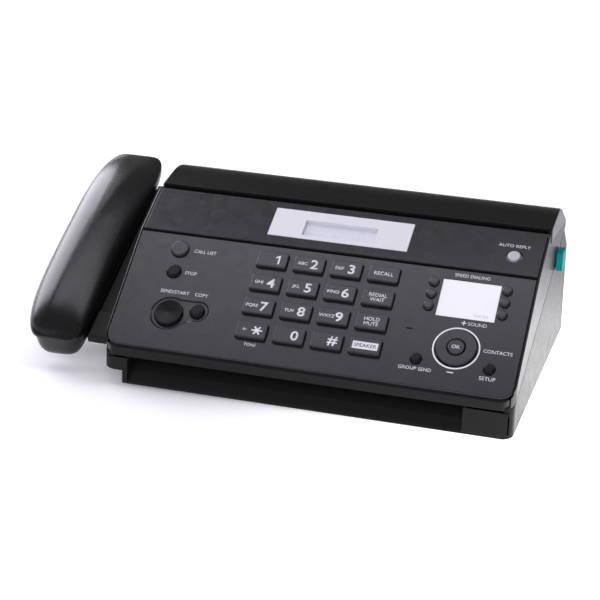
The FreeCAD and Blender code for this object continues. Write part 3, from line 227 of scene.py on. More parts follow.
class Workshop:
    """Node groups built once and the materials that use them."""

    DUST_COLOUR: Colour = (0.30, 0.29, 0.27)
    PATCH_SIZE = 22 * MM
    SMUDGE_SIZE = 9 * MM
    EDGE_RADIUS = 0.35 * MM
    DUST_FINENESS = 900.0
    SIDE_LEAN = 0.25
    SIDE_COAT_ROUGHNESS = 0.22
    LEAST_ROUGHNESS = 0.02
    GLASS_FINENESS = 5000.0

    def __init__(self) -> None:
        """Build the shared groups."""
        self.grain = self._grain_group()
        self.edges = self._edge_group()
        self.dust = self._dust_group()
        self.sides = self._side_group()
        self._made: dict[str, bpy.types.Material] = {}

    @staticmethod
    def node(tree: bpy.types.NodeTree, kind: str, values: dict[str | int, object] | None = None,
             **settings: object) -> bpy.types.Node:
        """Add a node with settings and socket values.

        Args:
            tree: node tree that gets the node.
            kind: type name of the node.
            values: socket values by socket name or number.
            settings: properties of the node itself.

        Returns:
            The new node.
        """
        made = tree.nodes.new(kind)
        for name, value in settings.items():
            setattr(made, name, value)
        for name, value in (values or {}).items():
            made.inputs[name].default_value = value
        return made

    @staticmethod
    def new_group(name: str, inputs: dict[str, float],
                  outputs: Sequence[str]) -> tuple[bpy.types.NodeTree, bpy.types.Node, bpy.types.Node]:
        """Start a shader node group with value sockets.

        Args:
            name: name of the group.
            inputs: names and default values of its inputs.
            outputs: names of its outputs.

        Returns:
            The group, its input node and its output node.
        """
        tree = bpy.data.node_groups.new(name, "ShaderNodeTree")
        for label, value in inputs.items():
            socket = tree.interface.new_socket(label, in_out="INPUT", socket_type="NodeSocketFloat")
            socket.default_value = value
        for label in outputs:
            tree.interface.new_socket(label, in_out="OUTPUT", socket_type="NodeSocketFloat")
        return tree, tree.nodes.new("NodeGroupInput"), tree.nodes.new("NodeGroupOutput")

    @staticmethod
    def blank(name: str) -> tuple[bpy.types.Material, bpy.types.NodeTree, bpy.types.Node]:
        """Start a material.

        Args:
            name: name of the material.

        Returns:
            The material, its node tree and its shader.
        """
        made = bpy.data.materials.new(name)
        made.use_nodes = True
        return made, made.node_tree, made.node_tree.nodes["Principled BSDF"]

    def _grain_group(self) -> bpy.types.NodeTree:
        """Build the moulded grain: fine relief, broad colour patches and handling marks.

        Returns:
            The group that gives the relief, patches and smudges.
        """
        tree, start, end = self.new_group("moulded_grain", {"Fineness": 1 / Finish.grain_size},
                                          ("Height", "Patches", "Smudges"))
        place = tree.nodes.new("ShaderNodeTexCoord")
        link = tree.links.new
        fine = self.node(tree, "ShaderNodeTexNoise", {"Detail": 2.0, "Roughness": 0.6})
        cells = self.node(tree, "ShaderNodeTexVoronoi", {"Smoothness": 0.6}, feature="SMOOTH_F1")
        relief = self.node(tree, "ShaderNodeMath", operation="MULTIPLY")
        patches = self.node(tree, "ShaderNodeTexNoise", {"Scale": 1 / self.PATCH_SIZE, "Detail": 5.0})
        smudges = self.node(tree, "ShaderNodeTexNoise", {"Scale": 1 / self.SMUDGE_SIZE, "Detail": 6.0,
                                                         "Roughness": 0.65, "Distortion": 0.8})
        for texture in (fine, cells, patches, smudges):
            link(place.outputs["Object"], texture.inputs["Vector"])
        for texture in (fine, cells):
            link(start.outputs["Fineness"], texture.inputs["Scale"])
        link(fine.outputs["Fac"], relief.inputs[0])
        link(cells.outputs["Distance"], relief.inputs[1])
        link(relief.outputs[0], end.inputs["Height"])
        link(patches.outputs["Fac"], end.inputs["Patches"])
        link(smudges.outputs["Fac"], end.inputs["Smudges"])
        return tree

    def _edge_group(self) -> bpy.types.NodeTree:
        """Build the mask of lightened edges: handling wear, and on the cover a painted highlight.

        Returns:
            The group that gives the edge mask.
        """
        tree, start, end = self.new_group("worn_and_highlit_edges", {"Radius": self.EDGE_RADIUS}, ("Edges",))
        link = tree.links.new
        rounded = self.node(tree, "ShaderNodeBevel", samples=4)
        facing = tree.nodes.new("ShaderNodeNewGeometry")
        alike = self.node(tree, "ShaderNodeVectorMath", operation="DOT_PRODUCT")
        mask = self.node(tree, "ShaderNodeMapRange", {"From Min": 0.995, "From Max": 0.86})
        place = tree.nodes.new("ShaderNodeTexCoord")
        uneven = self.node(tree, "ShaderNodeTexNoise", {"Scale": 260.0, "Detail": 4.0})
        share = self.node(tree, "ShaderNodeMath", operation="MULTIPLY")
        link(start.outputs["Radius"], rounded.inputs["Radius"])
        link(rounded.outputs["Normal"], alike.inputs[0])
        link(facing.outputs["Normal"], alike.inputs[1])
        link(alike.outputs["Value"], mask.inputs["Value"])
        link(place.outputs["Object"], uneven.inputs["Vector"])
        link(mask.outputs["Result"], share.inputs[0])
        link(uneven.outputs["Fac"], share.inputs[1])
        link(share.outputs[0], end.inputs["Edges"])
        return tree

    def _dust_group(self) -> bpy.types.NodeTree:
        """Build the mask of fine dust on faces that look up.

        Returns:
            The group that gives the dust mask.
        """
        tree, start, end = self.new_group("settled_dust", {"Fineness": self.DUST_FINENESS}, ("Dust",))
        link = tree.links.new
        place = tree.nodes.new("ShaderNodeTexCoord")
        parts = tree.nodes.new("ShaderNodeSeparateXYZ")
        upward = self.node(tree, "ShaderNodeMapRange", {"From Min": 0.55, "From Max": 1.0})
        specks = self.node(tree, "ShaderNodeTexNoise", {"Detail": 6.0, "Roughness": 0.75})
        share = self.node(tree, "ShaderNodeMath", operation="MULTIPLY")
        link(place.outputs["Normal"], parts.inputs[0])
        link(parts.outputs["Z"], upward.inputs["Value"])
        link(place.outputs["Object"], specks.inputs["Vector"])
        link(start.outputs["Fineness"], specks.inputs["Scale"])
        link(upward.outputs["Result"], share.inputs[0])
        link(specks.outputs["Fac"], share.inputs[1])
        link(share.outputs[0], end.inputs["Dust"])
        return tree

    def _side_group(self) -> bpy.types.NodeTree:
        """Build the mask of rounded edges that lean to either side.

        Returns:
            The group that gives the side mask.
        """
        tree, start, end = self.new_group("rounded_sides", {"Lean": self.SIDE_LEAN}, ("Sides",))
        link = tree.links.new
        place = tree.nodes.new("ShaderNodeTexCoord")
        parts = tree.nodes.new("ShaderNodeSeparateXYZ")
        lean = self.node(tree, "ShaderNodeMath", operation="ABSOLUTE")
        begins = self.node(tree, "ShaderNodeMapRange", {"From Max": 0.6})
        stops = self.node(tree, "ShaderNodeMapRange", {"From Min": 0.98, "From Max": 0.88})
        share = self.node(tree, "ShaderNodeMath", operation="MULTIPLY")
        link(place.outputs["Normal"], parts.inputs[0])
        link(parts.outputs["X"], lean.inputs[0])
        link(start.outputs["Lean"], begins.inputs["From Min"])
        for part in (begins, stops):
            link(lean.outputs[0], part.inputs["Value"])
        link(begins.outputs["Result"], share.inputs[0])
        link(stops.outputs["Result"], share.inputs[1])
        link(share.outputs[0], end.inputs["Sides"])
        return tree

    def _use(self, tree: bpy.types.NodeTree, group: bpy.types.NodeTree, **values: float) -> bpy.types.Node:
        """Place a shared group in a material with its own values.

        Args:
            tree: node tree of the material.
            group: shared group.
            values: values of the group's inputs.

        Returns:
            The new group node.
        """
        made = tree.nodes.new("ShaderNodeGroup")
        made.node_tree = group
        for name, value in values.items():
            made.inputs[name].default_value = value
        return made

    def _blend(self, tree: bpy.types.NodeTree, share: bpy.types.NodeSocket,
               first: Colour | bpy.types.NodeSocket, second: Colour) -> bpy.types.NodeSocket:
        """Mix two colours by a share.

        Args:
            tree: node tree of the material.
            share: socket that gives the share of the second colour.
            first: colour or colour socket.
            second: colour that the share brings in.

        Returns:
            The socket of the mixed colour.
        """
        mix = self.node(tree, "ShaderNodeMix", data_type="RGBA")
        tree.links.new(share, mix.inputs["Factor"])
        first_socket, second_socket = mix.inputs[6], mix.inputs[7]
        if isinstance(first, bpy.types.NodeSocket):
            tree.links.new(first, first_socket)
        else:
            first_socket.default_value = (*first, 1.0)
        second_socket.default_value = (*second, 1.0)
        return mix.outputs[2]

    def _scaled(self, tree: bpy.types.NodeTree, value: bpy.types.NodeSocket,
                factor: float) -> bpy.types.NodeSocket:
        """Multiply a mask by a number.

        Args:
            tree: node tree of the material.
            value: socket of the mask.
            factor: number to multiply by.

        Returns:
            The socket of the product.
        """
        made = self.node(tree, "ShaderNodeMath", {1: factor}, operation="MULTIPLY")
        tree.links.new(value, made.inputs[0])
        return made.outputs[0]

    def material(self, name: str) -> bpy.types.Material:
        """Give the material of a named finish, made on first use.

        Args:
            name: key of FINISHES.

        Returns:
            The finished material.
        """
        if name not in self._made:
            self._made[name] = self._make(name, FINISHES[name])
        return self._made[name]

    def _make(self, name: str, finish: Finish) -> bpy.types.Material:
        """Build the material of a finish.

        Args:
            name: name of the material.
            finish: what it looks like.

        Returns:
            The new material.
        """
        made, tree, shader = self.blank(name)
        shader.inputs["Metallic"].default_value = finish.metallic
        shader.inputs["Specular IOR Level"].default_value = finish.specular
        shader.inputs["Coat Weight"].default_value = finish.coat
        grain = self._use(tree, self.grain, Fineness=1 / finish.grain_size)
        darker = tuple(part * (1 - finish.mottle) for part in finish.colour)
        lighter = tuple(min(part * (1 + finish.mottle), 1.0) for part in finish.colour)
        colour = self._blend(tree, grain.outputs["Patches"], darker, lighter)
        # Lighten the edges: handling wear, and on the cover mostly a painted highlight.
        if finish.wear_and_highlight:
            edges = self._use(tree, self.edges, Radius=self.EDGE_RADIUS)
            colour = self._blend(tree, self._scaled(tree, edges.outputs["Edges"], finish.wear_and_highlight), colour,
                                 finish.wear_and_highlight_colour)
        if finish.dust:
            dust = self._use(tree, self.dust, Fineness=self.DUST_FINENESS)
            colour = self._blend(tree, self._scaled(tree, dust.outputs["Dust"], finish.dust), colour,
                                 self.DUST_COLOUR)
        tree.links.new(colour, shader.inputs["Base Color"])
        if finish.side_coat:
            sides = self._use(tree, self.sides, Lean=self.SIDE_LEAN)
            polished = self._scaled(tree, sides.outputs["Sides"], finish.side_coat)
            tree.links.new(polished, shader.inputs["Coat Weight"])
            shader.inputs["Coat Roughness"].default_value = self.SIDE_COAT_ROUGHNESS
        gloss = self.node(tree, "ShaderNodeMapRange", {
            "From Min": 0.25,
            "From Max": 0.75,
            "To Min": max(finish.roughness - finish.smudge, self.LEAST_ROUGHNESS),
            "To Max": finish.roughness + finish.smudge,
        })
        tree.links.new(grain.outputs["Smudges"], gloss.inputs["Value"])
        tree.links.new(gloss.outputs["Result"], shader.inputs["Roughness"])
        bump = self.node(tree, "ShaderNodeBump", {"Strength": 1.0, "Distance": finish.grain_depth})
        tree.links.new(grain.outputs["Height"], bump.inputs["Height"])
        tree.links.new(bump.outputs["Normal"], shader.inputs["Normal"])
        return made

    def display_glass(self, facet: Facet) -> bpy.types.Material:
        """Make the pale reflective display with its faint rows of character cells.

        Args:
            facet: plane of the display panel.

        Returns:
            The material.
        """
        made, tree, shader = self.blank("display_glass")
        link = tree.links.new
        shader.inputs["Coat Weight"].default_value = 0.6
        shader.inputs["Coat Roughness"].default_value = 0.04
        place = tree.nodes.new("ShaderNodeTexCoord")
        level = self.node(tree, "ShaderNodeMapping", vector_type="POINT")
        level.inputs["Rotation"].default_value = (-facet.slope, 0, 0)
        cells = self.node(tree, "ShaderNodeTexBrick", {
            "Scale": 1.0, "Mortar Size": 0.0002, "Mortar Smooth": 0.3, "Brick Width": 3.0 * MM,
            "Row Height": 5.6 * MM, "Color1": (0.60, 0.61, 0.67, 1), "Color2": (0.61, 0.62, 0.68, 1),
            "Mortar": (0.64, 0.65, 0.71, 1)}, offset=0.0)
        link(place.outputs["Object"], level.inputs["Vector"])
        link(level.outputs["Vector"], cells.inputs["Vector"])
        link(cells.outputs["Color"], shader.inputs["Base Color"])
        grain = self._use(tree, self.grain, Fineness=self.GLASS_FINENESS)
        gloss = self.node(tree, "ShaderNodeMapRange", {"To Min": 0.22, "To Max": 0.34})
        link(grain.outputs["Smudges"], gloss.inputs["Value"])
        link(gloss.outputs["Result"], shader.inputs["Roughness"])
        return made


class Bench:
    """Mesh helpers shared by the sub-assemblies."""

    EDGE_STEPS = 2

    @staticmethod
    def placed(name: str, data: bpy.types.ID) -> bpy.types.Object:
        """Put a mesh, curve, light or camera in the scene.

        Args:
            name: name of the object.
            data: what it shows.

        Returns:
            The new object.
        """
        holder = bpy.data.objects.new(name, data)
        bpy.context.scene.collection.objects.link(holder)
        return holder

    @classmethod
    def add(cls, name: str, mesh: bpy.types.Mesh, material: bpy.types.Material,
            rider: str) -> bpy.types.Object:
        """Put a mesh in the scene as a piece that rides on a body.

        Args:
            name: name of the piece.
            mesh: its mesh, in the frame.
            material: its material.
            rider: name of the body that carries it.

        Returns:
            The new object.
        """
        piece = cls.placed(name, mesh)
        piece.data.materials.clear()
        piece.data.materials.append(material)
        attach(piece, rider)
        log.info("%s rides on %s", name, rider)
        return piece

    @staticmethod
    def rings(loops: Sequence[Sequence[Vector]], first_tip: Vector | None = None,
              last_tip: Vector | None = None) -> bpy.types.Mesh:
        """Skin a row of closed loops, with a fan of faces at each end that has a tip.

        Args:
            loops: loops of equal length, each a closed ring of points.
            first_tip: point that closes the first loop, or None.
            last_tip: point that closes the last loop, or None.

        Returns:
            The mesh.
        """
        bm = bmesh.new()
        rows = [[bm.verts.new(point) for point in loop] for loop in loops]
        count = len(rows[0])
        for near, far in zip(rows, rows[1:]):
            for step in range(count):
                after = (step + 1) % count
                bm.faces.new((near[step], near[after], far[after], far[step]))
        for row, tip in ((rows[0], first_tip), (rows[-1], last_tip)):
            if tip is not None:
                middle = bm.verts.new(tip)
                for step in range(count):
                    bm.faces.new((row[step], row[(step + 1) % count], middle))
        bmesh.ops.recalc_face_normals(bm, faces=bm.faces)
        for face in bm.faces:
            face.smooth = True
        mesh = bpy.data.meshes.new("skin")
        bm.to_mesh(mesh)
        bm.free()
        return mesh

    @staticmethod
    def joined(meshes: Sequence[bpy.types.Mesh]) -> bpy.types.Mesh:
        """Gather several meshes in one.

        Args:
            meshes: meshes to gather, which are removed.

        Returns:
            The new mesh.
        """
        bm = bmesh.new()
        for mesh in meshes:
            bm.from_mesh(mesh)
            bpy.data.meshes.remove(mesh)
        made = bpy.data.meshes.new("gathered")
        bm.to_mesh(made)
        bm.free()
        return made

    @classmethod
    def of_curve(cls, curve: bpy.types.Curve) -> bpy.types.Mesh:
        """Turn a curve or text into a mesh.

        Args:
            curve: curve to turn, which is removed.

        Returns:
            The new mesh.
        """
        holder = cls.placed("holder", curve)
        bpy.context.view_layer.update()
        graph = bpy.context.evaluated_depsgraph_get()
        mesh = bpy.data.meshes.new_from_object(holder.evaluated_get(graph))
        bpy.data.objects.remove(holder)
        bpy.data.curves.remove(curve)
        return mesh

    @classmethod
    def flat_plate(cls, outlines: Sequence[Sequence[tuple[float, float]]], thick: float,
                   soften: float) -> bpy.types.Mesh:
        """Make a plate with softened edges from outlines, inner ones being holes.

        Args:
            outlines: closed outlines in the plate's own plane.
            thick: thickness of the plate.
            soften: radius of its rounded edges.

        Returns:
            The mesh, lying on the plane of zero height.
        """
        curve = bpy.data.curves.new("plate", "CURVE")
        curve.dimensions = "2D"
        curve.fill_mode = "BOTH"
        curve.extrude = thick / 2 - soften
        curve.bevel_depth = soften
        curve.bevel_resolution = cls.EDGE_STEPS
        curve.offset = -soften
        for outline in outlines:
            spline = curve.splines.new("POLY")
            spline.points.add(len(outline) - 1)
            for point, (u, v) in zip(spline.points, outline):
                point.co = (u, v, 0, 1)
            spline.use_cyclic_u = True
        mesh = cls.of_curve(curve)
        mesh.transform(Matrix.Translation((0, 0, thick / 2)))
        return mesh


Outline = list[tuple[float, float]]


def crossed_arms(count: int, half: float, first: float = 0.0) -> Outline:
    """Outline a sign of straight arms that meet in its middle.

    Args:
        count: number of arms.
        half: half the thickness of an arm, with the sign one unit across.
        first: direction of the first arm.

    Returns:
        The closed outline about the middle.
    """
    outline = []
    gap = math.pi / count
    for arm in range(count):
        angle = first + 2 * gap * arm
        along = (math.cos(angle), math.sin(angle))
        for side in (-half, half):
            outline.append((0.5 * along[0] - side * along[1], 0.5 * along[1] + side * along[0]))
        notch = half / math.sin(gap)
        outline.append((notch * math.cos(angle + gap), notch * math.sin(angle + gap)))
    return outline


class Lettering:
    """Printed characters as thin raised ink."""

    INK = 0.03 * MM
    LIFT = 0.01 * MM
    CURVE_STEPS = 3
    FLAT_ANGLE = 0.001
    SIGNS: dict[str, Outline] = {
        "1": [(0.09, -0.5), (0.20, -0.5), (0.20, 0.5), (0.07, 0.5), (-0.20, 0.31), (-0.20, 0.15),
              (0.05, 0.29), (0.05, -0.5)],
        "*": crossed_arms(6, 0.075),
        "+": crossed_arms(4, 0.10),
        "-": [(-0.5, -0.08), (0.5, -0.08), (0.5, 0.08), (-0.5, 0.08)],
    }

    def __init__(self) -> None:
        """Measure the letter height of the built-in font."""
        mesh, self.capital = self._letters("H", 1.0, 0.0)
        bpy.data.meshes.remove(mesh)

    def _letters(self, words: str, size: float, bold: float) -> tuple[bpy.types.Mesh, float]:
        """Set a line of text about its middle.

        Args:
            words: characters to set.
            size: font size.
            bold: growth of the strokes as a share of the size.

        Returns:
            The mesh and its height.
        """
        curve = bpy.data.curves.new("letters", "FONT")
        curve.body = words
        curve.size = size
        curve.offset = bold * size
        curve.resolution_u = self.CURVE_STEPS
        mesh = Bench.of_curve(curve)
        rows = [vertex.co for vertex in mesh.vertices]
        low = Vector(map(min, zip(*rows)))
        high = Vector(map(max, zip(*rows)))
        mesh.transform(Matrix.Translation(-(low + high) / 2))
        return mesh, high.y - low.y

    def line(self, words: str, height: float, at: Matrix, bold: float = 0.0,
             stretch: float = 1.0) -> bpy.types.Mesh:
        """Print a line of text on a plane.

        Args:
            words: characters to print.
            height: height of a capital letter.
            at: transform from the text's own plane to the frame.
            bold: growth of the strokes as a share of the size.
            stretch: widening of the letters.

        Returns:
            The mesh in the frame, a thin closed layer of ink.
        """
        bm = bmesh.new()
        if words in self.SIGNS:
            bm.faces.new([bm.verts.new((u * height, v * height, 0)) for u, v in self.SIGNS[words]])
        else:
            mesh, _ = self._letters(words, height / self.capital, bold)
            bm.from_mesh(mesh)
            bpy.data.meshes.remove(mesh)
        bmesh.ops.dissolve_limit(bm, angle_limit=self.FLAT_ANGLE, verts=bm.verts, edges=bm.edges)
        top = bmesh.ops.extrude_face_region(bm, geom=bm.faces[:])
        raised = [item for item in top["geom"] if isinstance(item, bmesh.types.BMVert)]
        bmesh.ops.translate(bm, verts=raised, vec=(0, 0, self.INK))
        bmesh.ops.recalc_face_normals(bm, faces=bm.faces)
        made = bpy.data.meshes.new("ink")
        bm.to_mesh(made)
        bm.free()
        made.transform(at @ Matrix.Diagonal((stretch, 1, 1, 1)) @ Matrix.Translation((0, 0, self.LIFT)))
        return made


@dataclass(frozen=True)
class KeyPrint:
    """What a keypad key carries."""

    digit: str = ""
    letters: str = ""
    words: tuple[str, ...] = ()
    block: bool = False


@dataclass(frozen=True)
class Word:
    """Label printed beside a node, as a shift from that node's middle."""

    text: str
    beside: str
    across: float
    along: float
    height: float = 2.5 * MM


@dataclass
class Keypad:
    """Legends of the sixteen keys and of the set button."""

    digit_height: float = 6.8 * MM
    digit_shift: float = 3.9 * MM
    digit_bold: float = 0.02
    digit_stretch: float = 1.14
    letter_height: float = 2.3 * MM
    letter_shift: float = -4.6 * MM
    letter_bold: float = 0.014
    letter_stretch: float = 1.08
    word_height: float = 2.7 * MM
    word_bold: float = 0.008
    line_gap: float = 3.7 * MM
    block_width: float = 17.5 * MM
    block_depth: float = 5.6 * MM
    block_thick: float = 1.6 * Lettering.INK
    block_edge: float = 0.2 * Lettering.INK
    block_lift: float = 2 * Lettering.INK

    PRINTS = {
        "key_one": KeyPrint("1"),
        "key_two": KeyPrint("2", "ABC"),
        "key_three": KeyPrint("3", "DEF"),
        "key_four": KeyPrint("4", "GHI"),
        "key_five": KeyPrint("5", "JKL"),
        "key_six": KeyPrint("6", "MNO"),
        "key_seven": KeyPrint("7", "PQRS"),
        "key_eight": KeyPrint("8", "TUV"),
        "key_nine": KeyPrint("9", "WXYZ"),
        "key_star": KeyPrint("*", "o-"),
        "key_zero": KeyPrint("0"),
        "key_hash": KeyPrint("#"),
        "key_recall": KeyPrint(words=("RECALL",)),
        "key_redial": KeyPrint(words=("REDIAL", "WAIT")),
        "key_mute": KeyPrint(words=("HOLD", "MUTE")),
        "key_speaker": KeyPrint(words=("SPEAKER",), block=True),
        "button_set": KeyPrint(words=("OK",)),
    }

    def build(self, facet: Facet, letters: Lettering, workshop: Workshop) -> None:
        """Print every key.

        Args:
            facet: plane of the operation panel.
            letters: font setter.
            workshop: source of materials.
        """
        for node, marks in self.PRINTS.items():
            top = facet.top_of(node)
            lines: list[bpy.types.Mesh] = []
            if marks.digit:
                place = facet.matrix(top.x + self.digit_shift, top.y, top.z)
                lines.append(letters.line(marks.digit, self.digit_height, place, self.digit_bold,
                                          self.digit_stretch))
            if marks.letters:
                place = facet.matrix(top.x + self.letter_shift, top.y, top.z)
                lines.append(letters.line(marks.letters, self.letter_height, place, self.letter_bold,
                                          self.letter_stretch))
            lift = self.block_lift if marks.block else 0.0
            for row, words in enumerate(marks.words):
                rise = (len(marks.words) - 1) / 2 - row
                place = facet.matrix(top.x, top.y + rise * self.line_gap, top.z + lift)
                lines.append(letters.line(words, self.word_height, place, self.word_bold))
            ink = "dark_ink" if marks.block else "legend_ink"
            Bench.add("legend_" + node, Bench.joined(lines), workshop.material(ink), node + "_body")
            if marks.block:
                self._block(node, facet, workshop)

    def _block(self, node: str, facet: Facet, workshop: Workshop) -> None:
        """Print the white block behind the dark word of one key.

        Args:
            node: name of the key's node.
            facet: plane of the operation panel.
            workshop: source of materials.
        """
        top = facet.top_of(node)
        half_u = self.block_width / 2
        half_v = self.block_depth / 2
        outline = [(-half_u, -half_v), (half_u, -half_v), (half_u, half_v), (-half_u, half_v)]
        mesh = Bench.flat_plate([outline], self.block_thick, self.block_edge)
        mesh.transform(facet.matrix(top.x, top.y, top.z))
        Bench.add("block_" + node, mesh, workshop.material("legend_ink"), node + "_body")


@dataclass
class PanelPrint:
    """Labels printed on the operation panel, the display panel and the card."""

    bold: float = 0.006

    PANEL_WORDS = (
        Word("CALL LIST", "button_caller", 18.5 * MM, 0.2 * MM),
        Word("STOP", "button_stop", 12.4 * MM, 0.2 * MM),
        Word("SEND/START", "button_start", -0.3 * MM, 17.2 * MM),
        Word("COPY", "button_copy", -0.4 * MM, 13.1 * MM),
        Word("TONE", "key_star", 0.9 * MM, -9.9 * MM, 2.2 * MM),
        Word("SPEED DIALING", "directory_card", -0.9 * MM, 18.6 * MM, 2.4 * MM),
        Word("+", "navigator_key", 1.2 * MM, 19.9 * MM, 3.4 * MM),
        Word("SOUND", "navigator_key", 10.4 * MM, 19.8 * MM),
        Word("CONTACTS", "navigator_key", 27.8 * MM, 0.9 * MM),
        Word("GROUP SEND", "button_group", 0.6 * MM, -7.2 * MM),
        Word("SETUP", "button_menu", -0.1 * MM, -7.2 * MM, 2.7 * MM),
        Word("-", "navigator_key", -0.5 * MM, -18.6 * MM, 4.4 * MM),
    )
    DISPLAY_WORDS = (Word("AUTO REPLY", "button_answer", -1.3 * MM, 9.8 * MM, 2.6 * MM),)
    CARD_WORD = Word("NAMES", "directory_card", 10.5 * MM, -11.2 * MM, 2.1 * MM)

    def build(self, panel: Facet, display: Facet, letters: Lettering, workshop: Workshop) -> None:
        """Print both panels and the card.

        Args:
            panel: plane of the operation panel.
            display: plane of the display panel.
            letters: font setter.
            workshop: source of materials.
        """
        for name, facet, words in (("panel_legends", panel, self.PANEL_WORDS),
                                   ("display_legends", display, self.DISPLAY_WORDS)):
            lines = []
            for word in words:
                beside = facet.top_of(word.beside)
                place = facet.matrix(beside.x + word.across, beside.y + word.along)
                lines.append(letters.line(word.text, word.height, place, self.bold))
            Bench.add(name, Bench.joined(lines), workshop.material("legend_ink"), Rider.COVER.value)
        card = panel.top_of(self.CARD_WORD.beside)
        place = panel.matrix(card.x + self.CARD_WORD.across, card.y + self.CARD_WORD.along, card.z)
        faint = letters.line(self.CARD_WORD.text, self.CARD_WORD.height, place)
        Bench.add("card_legend", faint, workshop.material("grey_ink"), Rider.COVER.value)


@dataclass
class NavigatorTrim:
    """White ring round the four-way key."""

    inner: float = 14.9 * MM
    outer: float = 15.95 * MM
    sunk: float = 0.45 * MM
    proud: float = 0.3 * MM
    steps: int = 128
    profile_steps: int = 10
    weld: float = 0.001 * MM

    def build(self, facet: Facet, workshop: Workshop) -> None:
        """Turn the ring.

        Args:
            facet: plane of the operation panel.
            workshop: source of materials.
        """
        middle = facet.top_of("navigator_key")
        half = (self.outer - self.inner) / 2
        radius = self.inner + half
        loops = []
        for turn in range(self.steps):
            angle = 2 * math.pi * turn / self.steps
            loop = [(radius + half, -self.sunk), (radius - half, -self.sunk)]
            for step in range(self.profile_steps + 1):
                bend = math.pi * (1 - step / self.profile_steps)
                loop.append((radius + half * math.cos(bend), self.proud * math.sin(bend)))
            loops.append([
                facet.spot(middle.x + reach * math.cos(angle), middle.y + reach * math.sin(angle), height)
                for reach, height in loop
            ])
        mesh = Bench.rings([*loops, loops[0]])
        bm = bmesh.new()
        bm.from_mesh(mesh)
        bmesh.ops.remove_doubles(bm, verts=bm.verts, dist=self.weld)
        bmesh.ops.recalc_face_normals(bm, faces=bm.faces)
        bm.to_mesh(mesh)
        bm.free()
        piece = Bench.add("navigator_ring", mesh, workshop.material("white_trim"), Rider.COVER.value)


@dataclass(frozen=True)
class End:
    """One end of the handset: how squarely it ends, and the heights of its flank and arch."""

    power: float
    flank: float
    arch: float


